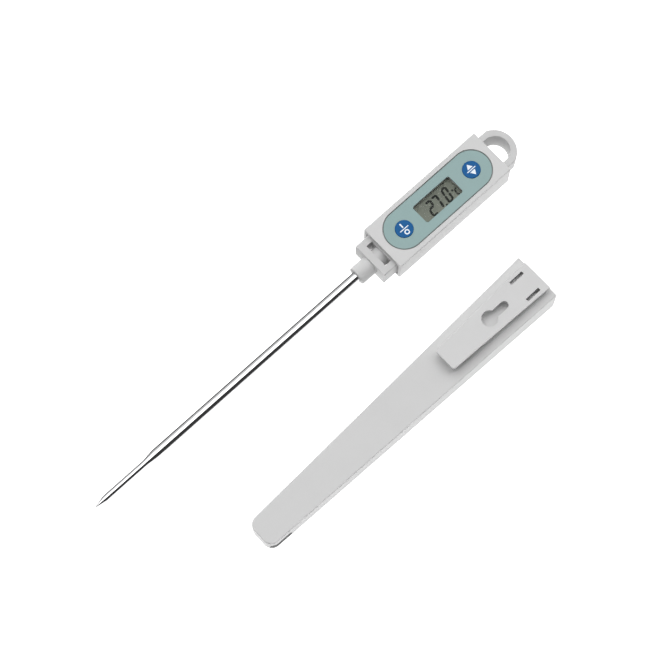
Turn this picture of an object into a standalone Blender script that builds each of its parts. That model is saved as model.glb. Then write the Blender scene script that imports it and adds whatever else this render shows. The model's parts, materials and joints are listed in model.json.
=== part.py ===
"""Pen thermometer for soil, with its loose tapered sheath, as separate named pieces.

Metres, +Z up. +X runs along the probe, from its point to the hanging loop. The origin is the centre
of the housing's back face, which lies on the table with the display upwards. The sheath lies beside
it on the -Y side, with its clip upwards.
"""

import math

import bmesh
import bpy
from mathutils import Matrix, Vector

ASSEMBLY = "soil_thermometer_probe"

# Clearances between neighbouring pieces
GAP = 0.0003
SLIDE_GAP = 0.0002

# Housing: a rectangular tube along X
HOUSING_LENGTH = 0.0638
HOUSING_WIDTH = 0.0226
HOUSING_HEIGHT = 0.0155
SIDE_WALL = 0.0016
BACK_WALL = 0.0015
FACE_WALL = 0.0020
BACK_EDGE_RADIUS = 0.0020
FACE_EDGE_RADIUS = 0.0005
CAVITY_EDGE_RADIUS = 0.0008
HOUSING_FRONT = -HOUSING_LENGTH / 2
HOUSING_REAR = HOUSING_LENGTH / 2
CAVITY_HALF_WIDTH = HOUSING_WIDTH / 2 - SIDE_WALL
CAVITY_TOP = HOUSING_HEIGHT - FACE_WALL
AXIS_HEIGHT = HOUSING_HEIGHT / 2

# Front panel: a stadium whose end arcs are centred on the two buttons
BUTTON_SPACING = 0.0390
ON_OFF_X = -0.0194
MAX_MIN_X = ON_OFF_X + BUTTON_SPACING
PANEL_RADIUS = 0.00895
PANEL_RECESS_DEPTH = 0.0009
PANEL_THICKNESS = 0.0005
RECESS_FLOOR = HOUSING_HEIGHT - PANEL_RECESS_DEPTH
WINDOW_LENGTH = 0.0209
WINDOW_WIDTH = 0.0094
WINDOW_CORNER = 0.0010
LENS_THICKNESS = 0.0010

# Buttons
BUTTON_RADIUS = 0.0040
BUTTON_PROUD = 0.0001
BUTTON_FLANGE_RADIUS = 0.0049
BUTTON_FLANGE_THICKNESS = 0.0006
BUTTON_STEM_RADIUS = 0.0016
BUTTON_STEM_LENGTH = 0.0004
BUTTON_EDGE = 0.0002

# Nose: collar, flange block and plug, one moulding
COLLAR_START = -0.0466
COLLAR_RADIUS = 0.0042
BLOCK_START = -0.0390
BLOCK_HALF_WIDTH = 0.0089
BLOCK_BOTTOM = 0.0026
BLOCK_TOP = 0.0129
BLOCK_EDGE_RADIUS = 0.0006
NOSE_WINDOW_START = -0.03565
NOSE_WINDOW_END = -0.03245
NOSE_WINDOW_HALF_WIDTH = 0.0058
NECK_RADIUS = 0.0044
PLUG_START = HOUSING_FRONT + 0.0007
PLUG_END = -0.0266
PLUG_CLEARANCE = 0.0002
SEAL_WIRE_RADIUS = 0.0005
SEAL_CLEARANCE = 0.0001
SEAL_CORNER = 0.0014
GROOVE_DEPTH = 0.0009
GROOVE_HALF_WIDTH = 0.0008
GROOVE_CORNER = 0.0010
NOSE_SEAL_X = (PLUG_START + PLUG_END) / 2
COLLAR_EDGE = 0.0003
PROBE_BORE_RADIUS = 0.0024
WIRE_BORE_RADIUS = 0.0012

# Probe: stepped, pointed and hollow
PROBE_TIP = -0.1916
PROBE_REAR = -0.0300
PROBE_RADIUS = 0.0022
PROBE_TIP_RADIUS = 0.00145
POINT_LENGTH = 0.0052
BORE_END = PROBE_TIP + 0.0046
BORE_POINT_LENGTH = 0.0008
THIN_END = -0.1648
TAPER_END = -0.1592
PROBE_WALL = 0.0004
PROBE_SEGMENTS = 32

# Sensor and its leads
SENSOR_RADIUS = 0.0006
SENSOR_LENGTH = 0.0024
SENSOR_X = PROBE_TIP + 0.0075
LEAD_RADIUS = 0.00022
LEAD_OFFSET = 0.00042
LEAD_RISE = 0.0003
SLEEVE_START = -0.1560
SLEEVE_END = -0.0345
SLEEVE_RADIUS = 0.0013
SLEEVE_BORE = 0.0009

# Circuit board
BOARD_FRONT = -0.0258
BOARD_REAR = 0.0232
BOARD_HALF_WIDTH = 0.0088
BOARD_BOTTOM = 0.0089
BOARD_TOP = 0.0099
RAIL_TOP = BOARD_BOTTOM - GAP
RAIL_THICKNESS = 0.0010
RAIL_REACH = 0.0011
BOARD_CORNER = 0.0006

# Display: a glass plate with a thin ledge along each side, which the connector strips press on
DISPLAY_HALF_LENGTH = 0.0114
DISPLAY_HALF_WIDTH = 0.0056
DISPLAY_BOTTOM = 0.0116
DISPLAY_TOP = 0.0131
DISPLAY_CORNER = 0.0002
LEDGE_WIDTH = 0.0014
LEDGE_BOTTOM = DISPLAY_BOTTOM + 0.0007
STRIP_HALF_WIDTH = 0.0005
STRIP_HALF_LENGTH = DISPLAY_HALF_LENGTH - 0.0008
FRAME_WALL = 0.0008
FRAME_BOTTOM = BOARD_TOP + GAP
FRAME_CORNER = 0.0006
FRAME_INNER_CORNER = 0.0003
LUG_REACH = 0.0022
LUG_HALF_WIDTH = 0.0020
LUG_HEIGHT = 0.0020
SCREW_X = DISPLAY_HALF_LENGTH + GAP + FRAME_WALL + 0.0010
SCREW_RADIUS = 0.0006
SCREW_LENGTH_ABOVE_BOARD = 0.0016
SCREW_HEAD_RADIUS = 0.0010
SCREW_HEAD_HEIGHT = 0.0005
SCREW_HOLE_RADIUS = 0.0009

# Parts on the board
SWITCH_HALF_WIDTH = 0.0024
SWITCH_HEIGHT = 0.0009
PLUNGER_RADIUS = 0.0011
PLUNGER_HEIGHT = 0.0013
BLOB_X = -0.0040
BLOB_RADIUS = 0.0032
BLOB_HEIGHT = 0.0012
CRYSTAL_START = (-0.0165, 0.0050)
CRYSTAL_END = (-0.0105, 0.0050)
CRYSTAL_RADIUS = 0.0010
CHIP_LENGTH = 0.0020
CHIP_WIDTH = 0.0012
CAPACITOR_PLACE = (-0.0150, -0.0050)
CAPACITOR_HEIGHT = 0.0007
RESISTOR_PLACE = (-0.0110, -0.0050)
RESISTOR_HEIGHT = 0.0006

# Battery contacts: bent strips
CONTACT_THICKNESS = 0.00025
POSITIVE_HALF_WIDTH = 0.0018
POSITIVE_FOOT = 0.0030
POSITIVE_LEG_END = 0.0034
NEGATIVE_HALF_WIDTH = 0.0015
NEGATIVE_FOOT_REAR = 0.0222
NEGATIVE_FOOT_FRONT = 0.0195
NEGATIVE_TOUCH_X = 0.0178
NEGATIVE_TIP_X = 0.0162
NEGATIVE_TIP_RISE = 0.0002

# Battery, its tray and the cap that carries them
CELL_RADIUS = 0.0058
CELL_HEIGHT = 0.0054
CELL_X = 0.0180
CELL_BOTTOM = 0.0024
CELL_RIM = 0.0004
CELL_STEP_HEIGHT = 0.0003
CELL_STEP_RADIUS = CELL_RADIUS - 0.0009
CELL_TOP_RADIUS = CELL_RADIUS - 0.0012
TRAY_FRONT = 0.0130
TRAY_REAR = 0.0242
TRAY_HALF_WIDTH = 0.0072
TRAY_BOTTOM = 0.0018
TRAY_FLOOR = 0.0021
TRAY_TOP = 0.0070
TRAY_CORNER = 0.0006
CAP_PLUG_FRONT = 0.0245
CAP_PLUG_REAR = HOUSING_REAR - 0.0004
CAP_SEAL_X = 0.0285

# Hanging loop: an arch with straight sides, seen along Z
LOOP_BOTTOM = 0.0026
LOOP_TOP = 0.0130
LOOP_ARC_X = 0.0333
LOOP_OUTER_RADIUS = 0.0098
LOOP_HALF_WIDTH = 0.00905
EYE_ARC_X = 0.0341
EYE_RADIUS = 0.0062
LOOP_BACK_EDGE_RADIUS = 0.0018
LOOP_NOTCH_RADIUS = 0.0004
LOOP_NOTCH_OFFSET = 0.0001

# Sheath: a tapered tube, closed at its tip. Its own frame has its origin at the middle of its mouth,
# on the table, and the constants below are in that frame.
SHEATH_PLACE = (0.0070, -0.0530, 0)
SHEATH_YAW = math.radians(0.5)
SHEATH_LENGTH = 0.1580
SHEATH_TIP = -SHEATH_LENGTH
SHEATH_MOUTH_WIDTH = 0.0227
SHEATH_MOUTH_HEIGHT = 0.0160
SHEATH_TIP_WIDTH = 0.0136
SHEATH_TIP_HEIGHT = 0.0105
SHEATH_WALL = 0.0014
SHEATH_TIP_WALL = 0.0008
SHEATH_TIP_CORNER = 0.0040
SHEATH_LOWER_EDGE_RADIUS = 0.0010
SHEATH_UPPER_EDGE_RADIUS = 0.0005

# Drain notch, round the tip's -Y corner: its rear end slopes
DRAIN_BOTTOM = 0.0016
DRAIN_TOP = 0.0064
DRAIN_REAR_AT_BOTTOM = SHEATH_TIP + 0.0120
DRAIN_REAR_AT_TOP = SHEATH_TIP + 0.0106
DRAIN_INNER_Y = -(SHEATH_TIP_WIDTH / 2 - SHEATH_WALL - 0.0002)

# Pocket clip: a tapered plate on a foot at the sheath's mouth, in the sheath's frame
CLIP_REAR = -0.0007
CLIP_FRONT = -0.0543
CLIP_REAR_WIDTH = 0.0147
CLIP_FRONT_WIDTH = 0.0107
CLIP_TOP = 0.0199
CLIP_THICKNESS = 0.0018
CLIP_CORNER = 0.0012
FOOT_FRONT = -0.0136
FOOT_HALF_WIDTH = 0.0059
SLOT_START = -0.0117
SLOT_END = -0.0045
SLOT_WIDTH = 0.0011
SLOT_Y = 0.0049
KEYHOLE_X = -0.0284
KEYHOLE_RADIUS = 0.00345
KEYHOLE_SLOT_X = -0.0200
KEYHOLE_SLOT_RADIUS = 0.00175

# The clip turns about the rear lower edge of its foot
CLIP_HINGE = (CLIP_REAR, 0, SHEATH_MOUTH_HEIGHT + GAP)

# How far a cutting shape runs past what it cuts, and how far a joined shape reaches into the other
OVERRUN = 0.001

FULL_TURN = 2 * math.pi
MERGE_DISTANCE = 0.000001
SMOOTH_ANGLE = math.radians(35)
FLAT_ANGLE = 0.001
ARC_SAG = 0.0001


# Scene and materials


def clear_scene():
    for obj in list(bpy.data.objects):
        bpy.data.objects.remove(obj)


def new_collection(name):
    collection = bpy.data.collections.new(name)
    bpy.context.scene.collection.children.link(collection)
    return collection


def surface(name, colour, roughness, metallic=0.0, alpha=1.0):
    material = bpy.data.materials.new(name)
    material.use_nodes = True
    shader = material.node_tree.nodes["Principled BSDF"]
    shader.inputs["Base Color"].default_value = (*colour, 1.0)
    shader.inputs["Roughness"].default_value = roughness
    shader.inputs["Metallic"].default_value = metallic
    shader.inputs["Alpha"].default_value = alpha
    material.diffuse_color = (*colour, alpha)
    return material


# Mesh building


def box(low, high):
    bm = bmesh.new()
    bmesh.ops.create_cube(bm, size=1.0)
    size = Vector(high) - Vector(low)
    bmesh.ops.scale(bm, verts=bm.verts, vec=size)
    bmesh.ops.translate(bm, verts=bm.verts, vec=(Vector(low) + Vector(high)) / 2)
    return bm


def rod(start, end, radius, segments=32):
    start = Vector(start)
    axis = Vector(end) - start
    bm = bmesh.new()
    bmesh.ops.create_cone(
        bm,
        cap_ends=True,
        segments=segments,
        radius1=radius,
        radius2=radius,
        depth=axis.length,
    )
    turn = Vector((0, 0, 1)).rotation_difference(axis).to_matrix().to_4x4()
    bmesh.ops.transform(bm, matrix=Matrix.Translation(start + axis / 2) @ turn, verts=bm.verts)
    return bm


def bevel_where(bm, chosen, width, segments):
    edges = [edge for edge in bm.edges if chosen(edge)]
    bmesh.ops.bevel(
        bm,
        geom=edges,
        offset=width,
        offset_type="OFFSET",
        segments=segments,
        profile=0.5,
        affect="EDGES",
        clamp_overlap=True,
    )
    return bm


def runs_along(edge, axis):
    direction = (edge.verts[1].co - edge.verts[0].co).normalized()
    return abs(direction[axis]) > 0.9


def middle(edge):
    return (edge.verts[0].co + edge.verts[1].co) / 2


def add_solid(bm, name, collection, material=None):
    bmesh.ops.recalc_face_normals(bm, faces=bm.faces)
    mesh = bpy.data.meshes.new(name)
    bm.to_mesh(mesh)
    bm.free()
    mesh.shade_smooth()
    mesh.set_sharp_from_angle(angle=SMOOTH_ANGLE)
    obj = bpy.data.objects.new(name, mesh)
    collection.objects.link(obj)
    if material:
        mesh.materials.append(material)
    return obj


def arc(centre, radius, start, end, steps):
    """Points from the start angle to the end angle, in degrees, both ends included."""
    points = []
    for step in range(steps + 1):
        angle = math.radians(start + (end - start) * step / steps)
        points.append((centre[0] + radius * math.cos(angle), centre[1] + radius * math.sin(angle)))
    return points


def circle(centre, radius, steps=32):
    return arc(centre, radius, 0, 360, steps)[:-1]


def rounded_rectangle(low, high, radius, steps=4):
    corners = (
        ((high[0] - radius, high[1] - radius), 0),
        ((low[0] + radius, high[1] - radius), 90),
        ((low[0] + radius, low[1] + radius), 180),
        ((high[0] - radius, low[1] + radius), 270),
    )
    points = []
    for centre, start in corners:
        points += arc(centre, radius, start, start + 90, steps)
    return points


def stadium(left, right, radius, steps=20):
    return arc((right, 0), radius, -90, 90, steps) + arc((left, 0), radius, 90, 270, steps)


def flat_mesh(outlines, bottom, top):
    """A plate between two heights from its outline, with any holes as further outlines."""
    curve = bpy.data.curves.new("outline", "CURVE")
    curve.dimensions = "2D"
    curve.fill_mode = "BOTH"
    curve.extrude = (top - bottom) / 2
    for outline in outlines:
        spline = curve.splines.new("POLY")
        spline.points.add(len(outline) - 1)
        for point, (x, y) in zip(spline.points, outline):
            point.co = (x, y, 0, 1)
        spline.use_cyclic_u = True
    holder = bpy.data.objects.new("outline", curve)
    bpy.context.scene.collection.objects.link(holder)
    graph = bpy.context.evaluated_depsgraph_get()
    mesh = bpy.data.meshes.new_from_object(holder.evaluated_get(graph))
    bm = bmesh.new()
    bm.from_mesh(mesh)
    bmesh.ops.translate(bm, verts=bm.verts, vec=(0, 0, (bottom + top) / 2))
    bmesh.ops.remove_doubles(bm, verts=bm.verts, dist=MERGE_DISTANCE)
    bpy.data.objects.remove(holder)
    bpy.data.meshes.remove(mesh)
    return bm


def boolean(target, tool, operation="DIFFERENCE"):
    modifier = target.modifiers.new(operation.lower(), "BOOLEAN")
    modifier.operation = operation
    modifier.solver = "EXACT"
    modifier.object = tool


def shape_with(target, bm, name, operation="DIFFERENCE"):
    """Cuts the shape out of the target, or joins it on, and keeps it as a hidden tool object."""
    tool = add_solid(bm, name, tools)
    tool.hide_render = True
    tool.display_type = "WIRE"
    boolean(target, tool, operation)


def turned(name, profile, segments, material):
    """A body of revolution about X. The profile is (x, radius), from the rear down its outer side."""
    mesh = bpy.data.meshes.new(name)
    vertices = [(radius, 0, x) for x, radius in profile]
    edges = [(i, i + 1) for i in range(len(profile) - 1)]
    mesh.from_pydata(vertices, edges, [])
    mesh.materials.append(material)
    obj = bpy.data.objects.new(name, mesh)
    parts.objects.link(obj)
    screw = obj.modifiers.new("turn", "SCREW")
    screw.axis = "Z"
    screw.angle = FULL_TURN
    screw.steps = segments
    screw.render_steps = segments
    screw.use_merge_vertices = True
    screw.merge_threshold = MERGE_DISTANCE
    screw.use_smooth_shade = True
    obj.rotation_euler = (0, math.pi / 2, 0)
    obj.location = (0, 0, AXIS_HEIGHT)
    return obj


def stand_at(obj, x):
    """Stands a turned body upright, with its axis through the middle plane at x."""
    obj.rotation_euler = (0, 0, 0)
    obj.location = (x, 0, 0)
    return obj


def wire(name, points, radius, material, closed=False, smooth_sides=2):
    curve = bpy.data.curves.new(name, "CURVE")
    curve.dimensions = "3D"
    curve.bevel_depth = radius
    curve.bevel_resolution = smooth_sides
    curve.use_fill_caps = not closed
    spline = curve.splines.new("POLY")
    spline.points.add(len(points) - 1)
    for point, place in zip(spline.points, points):
        point.co = (*place, 1)
    spline.use_cyclic_u = closed
    curve.materials.append(material)
    obj = bpy.data.objects.new(name, curve)
    parts.objects.link(obj)
    return obj


def bent_strip(name, path, half_width, thickness, material):
    """A sheet-metal strip across Y, bent along an XZ path."""
    vertices = []
    for x, z in path:
        vertices += [(x, -half_width, z), (x, half_width, z)]
    faces = [(2 * i, 2 * i + 1, 2 * i + 3, 2 * i + 2) for i in range(len(path) - 1)]
    mesh = bpy.data.meshes.new(name)
    mesh.from_pydata(vertices, [], faces)
    mesh.materials.append(material)
    obj = bpy.data.objects.new(name, mesh)
    parts.objects.link(obj)
    solidify = obj.modifiers.new("sheet", "SOLIDIFY")
    solidify.thickness = thickness
    solidify.offset = 0
    solidify.use_even_offset = True
    return obj


def with_tools(piece):
    """The piece and the hidden shapes that cut it or are joined on."""
    return [piece] + [m.object for m in piece.modifiers if m.type == "BOOLEAN"]


def ride_on(empty, *pieces):
    """Parents pieces to a joint's empty, without moving them in the frame that both are in."""
    for piece in pieces:
        for follower in with_tools(piece):
            follower.parent = empty
            follower.matrix_parent_inverse = Matrix.Translation(-empty.location)


def draw_in(empty, *pieces):
    """Parents pieces to an empty that is the frame they were drawn in."""
    for piece in pieces:
        for follower in with_tools(piece):
            follower.parent = empty


def joint_empty(name, location):
    empty = bpy.data.objects.new(name, None)
    empty.empty_display_size = 0.01
    empty.location = location
    parts.objects.link(empty)
    return empty


# Housing and front panel


def make_housing(material):
    half = HOUSING_WIDTH / 2
    bm = box((HOUSING_FRONT, -half, 0), (HOUSING_REAR, half, HOUSING_HEIGHT))
    bevel_where(
        bm, lambda e: runs_along(e, 0) and middle(e).z < MERGE_DISTANCE, BACK_EDGE_RADIUS, 4
    )
    bevel_where(
        bm,
        lambda e: runs_along(e, 0) and middle(e).z > HOUSING_HEIGHT - MERGE_DISTANCE,
        FACE_EDGE_RADIUS,
        2,
    )
    housing = add_solid(bm, "housing", parts, material)
    cavity = box(
        (HOUSING_FRONT - OVERRUN, -CAVITY_HALF_WIDTH, BACK_WALL),
        (HOUSING_REAR + OVERRUN, CAVITY_HALF_WIDTH, CAVITY_TOP),
    )
    bevel_where(cavity, lambda e: runs_along(e, 0), CAVITY_EDGE_RADIUS, 2)
    shape_with(housing, cavity, "housing_cavity")
    recess = flat_mesh(
        [stadium(ON_OFF_X, MAX_MIN_X, PANEL_RADIUS + SLIDE_GAP)],
        RECESS_FLOOR,
        HOUSING_HEIGHT + OVERRUN,
    )
    shape_with(housing, recess, "panel_recess")
    half_length = WINDOW_LENGTH / 2
    half_width = WINDOW_WIDTH / 2
    window = flat_mesh(
        [rounded_rectangle((-half_length, -half_width), (half_length, half_width), WINDOW_CORNER)],
        CAVITY_TOP - OVERRUN,
        HOUSING_HEIGHT + OVERRUN,
    )
    shape_with(housing, window, "window_opening")
    for name, x in (("on_off_opening", ON_OFF_X), ("max_min_opening", MAX_MIN_X)):
        hole = rod(
            (x, 0, CAVITY_TOP - OVERRUN), (x, 0, HOUSING_HEIGHT + OVERRUN), BUTTON_RADIUS + GAP
        )
        shape_with(housing, hole, name)
    for name, side in (("board_rail_left", 1), ("board_rail_right", -1)):
        inner = side * (CAVITY_HALF_WIDTH - RAIL_REACH)
        outer = side * (CAVITY_HALF_WIDTH + SIDE_WALL / 2)
        rail = box(
            (BOARD_FRONT, min(inner, outer), RAIL_TOP - RAIL_THICKNESS),
            (BOARD_REAR, max(inner, outer), RAIL_TOP),
        )
        shape_with(housing, rail, name, "UNION")
    return housing


def make_panel(material):
    half_length = WINDOW_LENGTH / 2
    half_width = WINDOW_WIDTH / 2
    outlines = [
        stadium(ON_OFF_X, MAX_MIN_X, PANEL_RADIUS),
        rounded_rectangle((-half_length, -half_width), (half_length, half_width), WINDOW_CORNER),
        circle((ON_OFF_X, 0), BUTTON_RADIUS + SLIDE_GAP),
        circle((MAX_MIN_X, 0), BUTTON_RADIUS + SLIDE_GAP),
    ]
    bottom = RECESS_FLOOR + GAP
    bm = flat_mesh(outlines, bottom, bottom + PANEL_THICKNESS)
    return add_solid(bm, "panel_overlay", parts, material)


def make_lens(material):
    half_length = WINDOW_LENGTH / 2 - SLIDE_GAP
    half_width = WINDOW_WIDTH / 2 - SLIDE_GAP
    top = RECESS_FLOOR + GAP + PANEL_THICKNESS - SLIDE_GAP
    bm = flat_mesh(
        [rounded_rectangle((-half_length, -half_width), (half_length, half_width), WINDOW_CORNER)],
        top - LENS_THICKNESS,
        top,
    )
    return add_solid(bm, "window_lens", parts, material)


def make_button(name, x, material):
    cap_top = HOUSING_HEIGHT + BUTTON_PROUD
    flange_top = CAVITY_TOP - GAP
    flange_bottom = flange_top - BUTTON_FLANGE_THICKNESS
    stem_bottom = flange_bottom - BUTTON_STEM_LENGTH
    profile = (
        (stem_bottom, 0),
        (stem_bottom, BUTTON_STEM_RADIUS),
        (flange_bottom, BUTTON_STEM_RADIUS),
        (flange_bottom, BUTTON_FLANGE_RADIUS),
        (flange_top, BUTTON_FLANGE_RADIUS),
        (flange_top, BUTTON_RADIUS),
        (cap_top - BUTTON_EDGE, BUTTON_RADIUS),
        (cap_top, BUTTON_RADIUS - BUTTON_EDGE),
        (cap_top, 0),
    )
    button = turned(name, tuple(reversed(profile)), 40, material)
    stand_at(button, x)
    empty = joint_empty(name + "_press", (x, 0, cap_top))
    ride_on(empty, button)
    return button


# Nose, probe and sensor


def make_probe_holder(material):
    block = box(
        (BLOCK_START, -BLOCK_HALF_WIDTH, BLOCK_BOTTOM),
        (PLUG_START + OVERRUN, BLOCK_HALF_WIDTH, BLOCK_TOP),
    )
    bevel_where(block, lambda e: runs_along(e, 0), BLOCK_EDGE_RADIUS, 2)
    holder = add_solid(block, "probe_holder", parts, material)
    window = box(
        (NOSE_WINDOW_START, -NOSE_WINDOW_HALF_WIDTH, 0),
        (NOSE_WINDOW_END, NOSE_WINDOW_HALF_WIDTH, HOUSING_HEIGHT),
    )
    shape_with(holder, window, "nose_window")
    collar = rod(on_axis(COLLAR_START), on_axis(BLOCK_START + OVERRUN), COLLAR_RADIUS, 40)
    bevel_where(collar, lambda e: middle(e).x < COLLAR_START + MERGE_DISTANCE, COLLAR_EDGE, 1)
    shape_with(holder, collar, "nose_collar", "UNION")
    neck = rod(
        on_axis(NOSE_WINDOW_START - OVERRUN),
        on_axis(NOSE_WINDOW_END + OVERRUN),
        NECK_RADIUS,
        40,
    )
    shape_with(holder, neck, "nose_neck", "UNION")
    shape_with(holder, plug_shape(PLUG_START, PLUG_END), "nose_plug", "UNION")
    shape_with(holder, groove_ring(NOSE_SEAL_X), "nose_groove")
    probe_bore = rod(
        on_axis(COLLAR_START - OVERRUN), on_axis(PROBE_REAR + GAP), PROBE_BORE_RADIUS
    )
    shape_with(holder, probe_bore, "probe_bore")
    wire_bore = rod(on_axis(PROBE_REAR - OVERRUN), on_axis(PLUG_END + OVERRUN), WIRE_BORE_RADIUS)
    shape_with(holder, wire_bore, "lead_bore")
    return holder


def on_axis(x):
    """The point on the probe's axis at x."""
    return (x, 0, AXIS_HEIGHT)


def cavity_section(inset, radius):
    """The outline of the housing's cavity in Y and Z, moved in by the inset."""
    return rounded_rectangle(
        (-CAVITY_HALF_WIDTH + inset, BACK_WALL + inset),
        (CAVITY_HALF_WIDTH - inset, CAVITY_TOP - inset),
        radius,
    )


def plug_shape(start, end):
    """A block that fits the housing's cavity."""
    plug = box(
        (start, -CAVITY_HALF_WIDTH + PLUG_CLEARANCE, BACK_WALL + PLUG_CLEARANCE),
        (end, CAVITY_HALF_WIDTH - PLUG_CLEARANCE, CAVITY_TOP - PLUG_CLEARANCE),
    )
    return bevel_where(plug, lambda e: runs_along(e, 0), CAVITY_EDGE_RADIUS, 2)


def groove_ring(x):
    """A rectangular ring that cuts a seal groove round a plug of the cavity's section."""
    outer = cavity_section(-2 * OVERRUN, GROOVE_CORNER)
    inner = cavity_section(PLUG_CLEARANCE + GROOVE_DEPTH, GROOVE_CORNER)
    ring = flat_mesh([outer, inner], -GROOVE_HALF_WIDTH, GROOVE_HALF_WIDTH)
    stand_up = Matrix(((0, 0, 1, x), (1, 0, 0, 0), (0, 1, 0, 0), (0, 0, 0, 1)))
    bmesh.ops.transform(ring, matrix=stand_up, verts=ring.verts)
    return ring


def make_seal(name, x, material):
    section = cavity_section(SEAL_WIRE_RADIUS + SEAL_CLEARANCE, SEAL_CORNER)
    path = [(x, y, z) for y, z in section]
    return wire(name, path, SEAL_WIRE_RADIUS, material, closed=True)


def make_probe(material):
    bore = PROBE_RADIUS - PROBE_WALL
    thin_bore = PROBE_TIP_RADIUS - PROBE_WALL
    profile = (
        (BORE_END, 0),
        (BORE_END + BORE_POINT_LENGTH, thin_bore),
        (THIN_END, thin_bore),
        (TAPER_END, bore),
        (PROBE_REAR, bore),
        (PROBE_REAR, PROBE_RADIUS),
        (TAPER_END, PROBE_RADIUS),
        (THIN_END, PROBE_TIP_RADIUS),
        (PROBE_TIP + POINT_LENGTH, PROBE_TIP_RADIUS),
        (PROBE_TIP, 0),
    )
    return turned("probe_tube", profile, PROBE_SEGMENTS, material)


def make_sensor(material):
    half = SENSOR_LENGTH / 2
    cap = [
        (SENSOR_X + half * math.cos(angle), SENSOR_RADIUS * math.sin(angle))
        for angle in (math.pi * step / 10 for step in range(11))
    ]
    cap[0] = (SENSOR_X + half, 0)
    cap[-1] = (SENSOR_X - half, 0)
    return turned("thermistor", cap, 16, material)


def make_leads(material):
    start = SENSOR_X + SENSOR_LENGTH / 2 + GAP
    board_edge = BOARD_FRONT - GAP - LEAD_RADIUS
    for name, side in (("sensor_wire_a", 1), ("sensor_wire_b", -1)):
        y = side * LEAD_OFFSET
        points = [
            (start, y, AXIS_HEIGHT),
            (PLUG_END - 2 * LEAD_RADIUS, y, AXIS_HEIGHT),
            (board_edge - 2 * LEAD_RADIUS, y, AXIS_HEIGHT + LEAD_RISE),
            (board_edge, y, (BOARD_BOTTOM + BOARD_TOP) / 2),
        ]
        wire(name, points, LEAD_RADIUS, material, smooth_sides=1)


def make_sleeve(material):
    profile = (
        (SLEEVE_START, SLEEVE_BORE),
        (SLEEVE_END, SLEEVE_BORE),
        (SLEEVE_END, SLEEVE_RADIUS),
        (SLEEVE_START, SLEEVE_RADIUS),
        (SLEEVE_START, SLEEVE_BORE),
    )
    return turned("wire_sleeve", profile, 20, material)


def make_tube_seal(material):
    radius = PROBE_RADIUS - PROBE_WALL - SLIDE_GAP
    body = rod((SLEEVE_END + GAP, 0, AXIS_HEIGHT), (PROBE_REAR, 0, AXIS_HEIGHT), radius, 20)
    seal = add_solid(body, "tube_end_seal", parts, material)
    half_height = LEAD_RADIUS + SEAL_CLEARANCE
    slot = box(
        (SLEEVE_END - OVERRUN, -LEAD_OFFSET - half_height, AXIS_HEIGHT - half_height),
        (PROBE_REAR + OVERRUN, LEAD_OFFSET + half_height, AXIS_HEIGHT + half_height),
    )
    shape_with(seal, slot, "lead_slot")
    return seal


# Electronics


def make_board(material):
    outlines = [
        rounded_rectangle(
            (BOARD_FRONT, -BOARD_HALF_WIDTH), (BOARD_REAR, BOARD_HALF_WIDTH), BOARD_CORNER, 2
        ),
        circle((-SCREW_X, 0), SCREW_HOLE_RADIUS, 16),
        circle((SCREW_X, 0), SCREW_HOLE_RADIUS, 16),
    ]
    plate = flat_mesh(outlines, BOARD_BOTTOM, BOARD_TOP)
    return add_solid(plate, "circuit_board", parts, material)


def centred_rectangle(half_length, half_width, corner, steps=1):
    return rounded_rectangle((-half_length, -half_width), (half_length, half_width), corner, steps)


def make_display(material):
    outline = centred_rectangle(DISPLAY_HALF_LENGTH, DISPLAY_HALF_WIDTH, DISPLAY_CORNER)
    plate = flat_mesh([outline], DISPLAY_BOTTOM, DISPLAY_TOP)
    display = add_solid(plate, "lcd_panel", parts, material)
    reach = DISPLAY_HALF_LENGTH + OVERRUN
    for name, side in (("ledge_cut_a", 1), ("ledge_cut_b", -1)):
        inner = side * (DISPLAY_HALF_WIDTH - LEDGE_WIDTH)
        outer = side * (DISPLAY_HALF_WIDTH + OVERRUN)
        low = (-reach, min(inner, outer), DISPLAY_BOTTOM - OVERRUN)
        high = (reach, max(inner, outer), LEDGE_BOTTOM)
        shape_with(display, box(low, high), name)


def make_display_frame(material):
    inner_length = DISPLAY_HALF_LENGTH + GAP
    inner_width = DISPLAY_HALF_WIDTH + GAP
    outer_length = inner_length + FRAME_WALL
    outer_width = inner_width + FRAME_WALL
    outlines = [
        centred_rectangle(outer_length, outer_width, FRAME_CORNER, 2),
        centred_rectangle(inner_length, inner_width, FRAME_INNER_CORNER),
    ]
    ring = flat_mesh(outlines, FRAME_BOTTOM, DISPLAY_TOP)
    frame = add_solid(ring, "lcd_frame", parts, material)
    for name, side in (("frame_lug_front", -1), ("frame_lug_rear", 1)):
        near = side * (outer_length - FRAME_WALL / 2)
        far = side * (outer_length + LUG_REACH)
        low = (min(near, far), -LUG_HALF_WIDTH)
        high = (max(near, far), LUG_HALF_WIDTH)
        outline = rounded_rectangle(low, high, FRAME_INNER_CORNER, 1)
        lug = flat_mesh([outline], FRAME_BOTTOM, FRAME_BOTTOM + LUG_HEIGHT)
        shape_with(frame, lug, name, "UNION")
        x = side * SCREW_X
        start = (x, 0, FRAME_BOTTOM - OVERRUN)
        end = (x, 0, DISPLAY_TOP + OVERRUN)
        shape_with(frame, rod(start, end, SCREW_HOLE_RADIUS, 16), name + "_hole")


def make_connectors(material):
    for name, side in (("elastomer_strip_a", 1), ("elastomer_strip_b", -1)):
        centre = side * (DISPLAY_HALF_WIDTH - LEDGE_WIDTH / 2)
        strip = box(
            (-STRIP_HALF_LENGTH, centre - STRIP_HALF_WIDTH, BOARD_TOP + GAP),
            (STRIP_HALF_LENGTH, centre + STRIP_HALF_WIDTH, LEDGE_BOTTOM - GAP),
        )
        add_solid(strip, name, parts, material)


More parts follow.
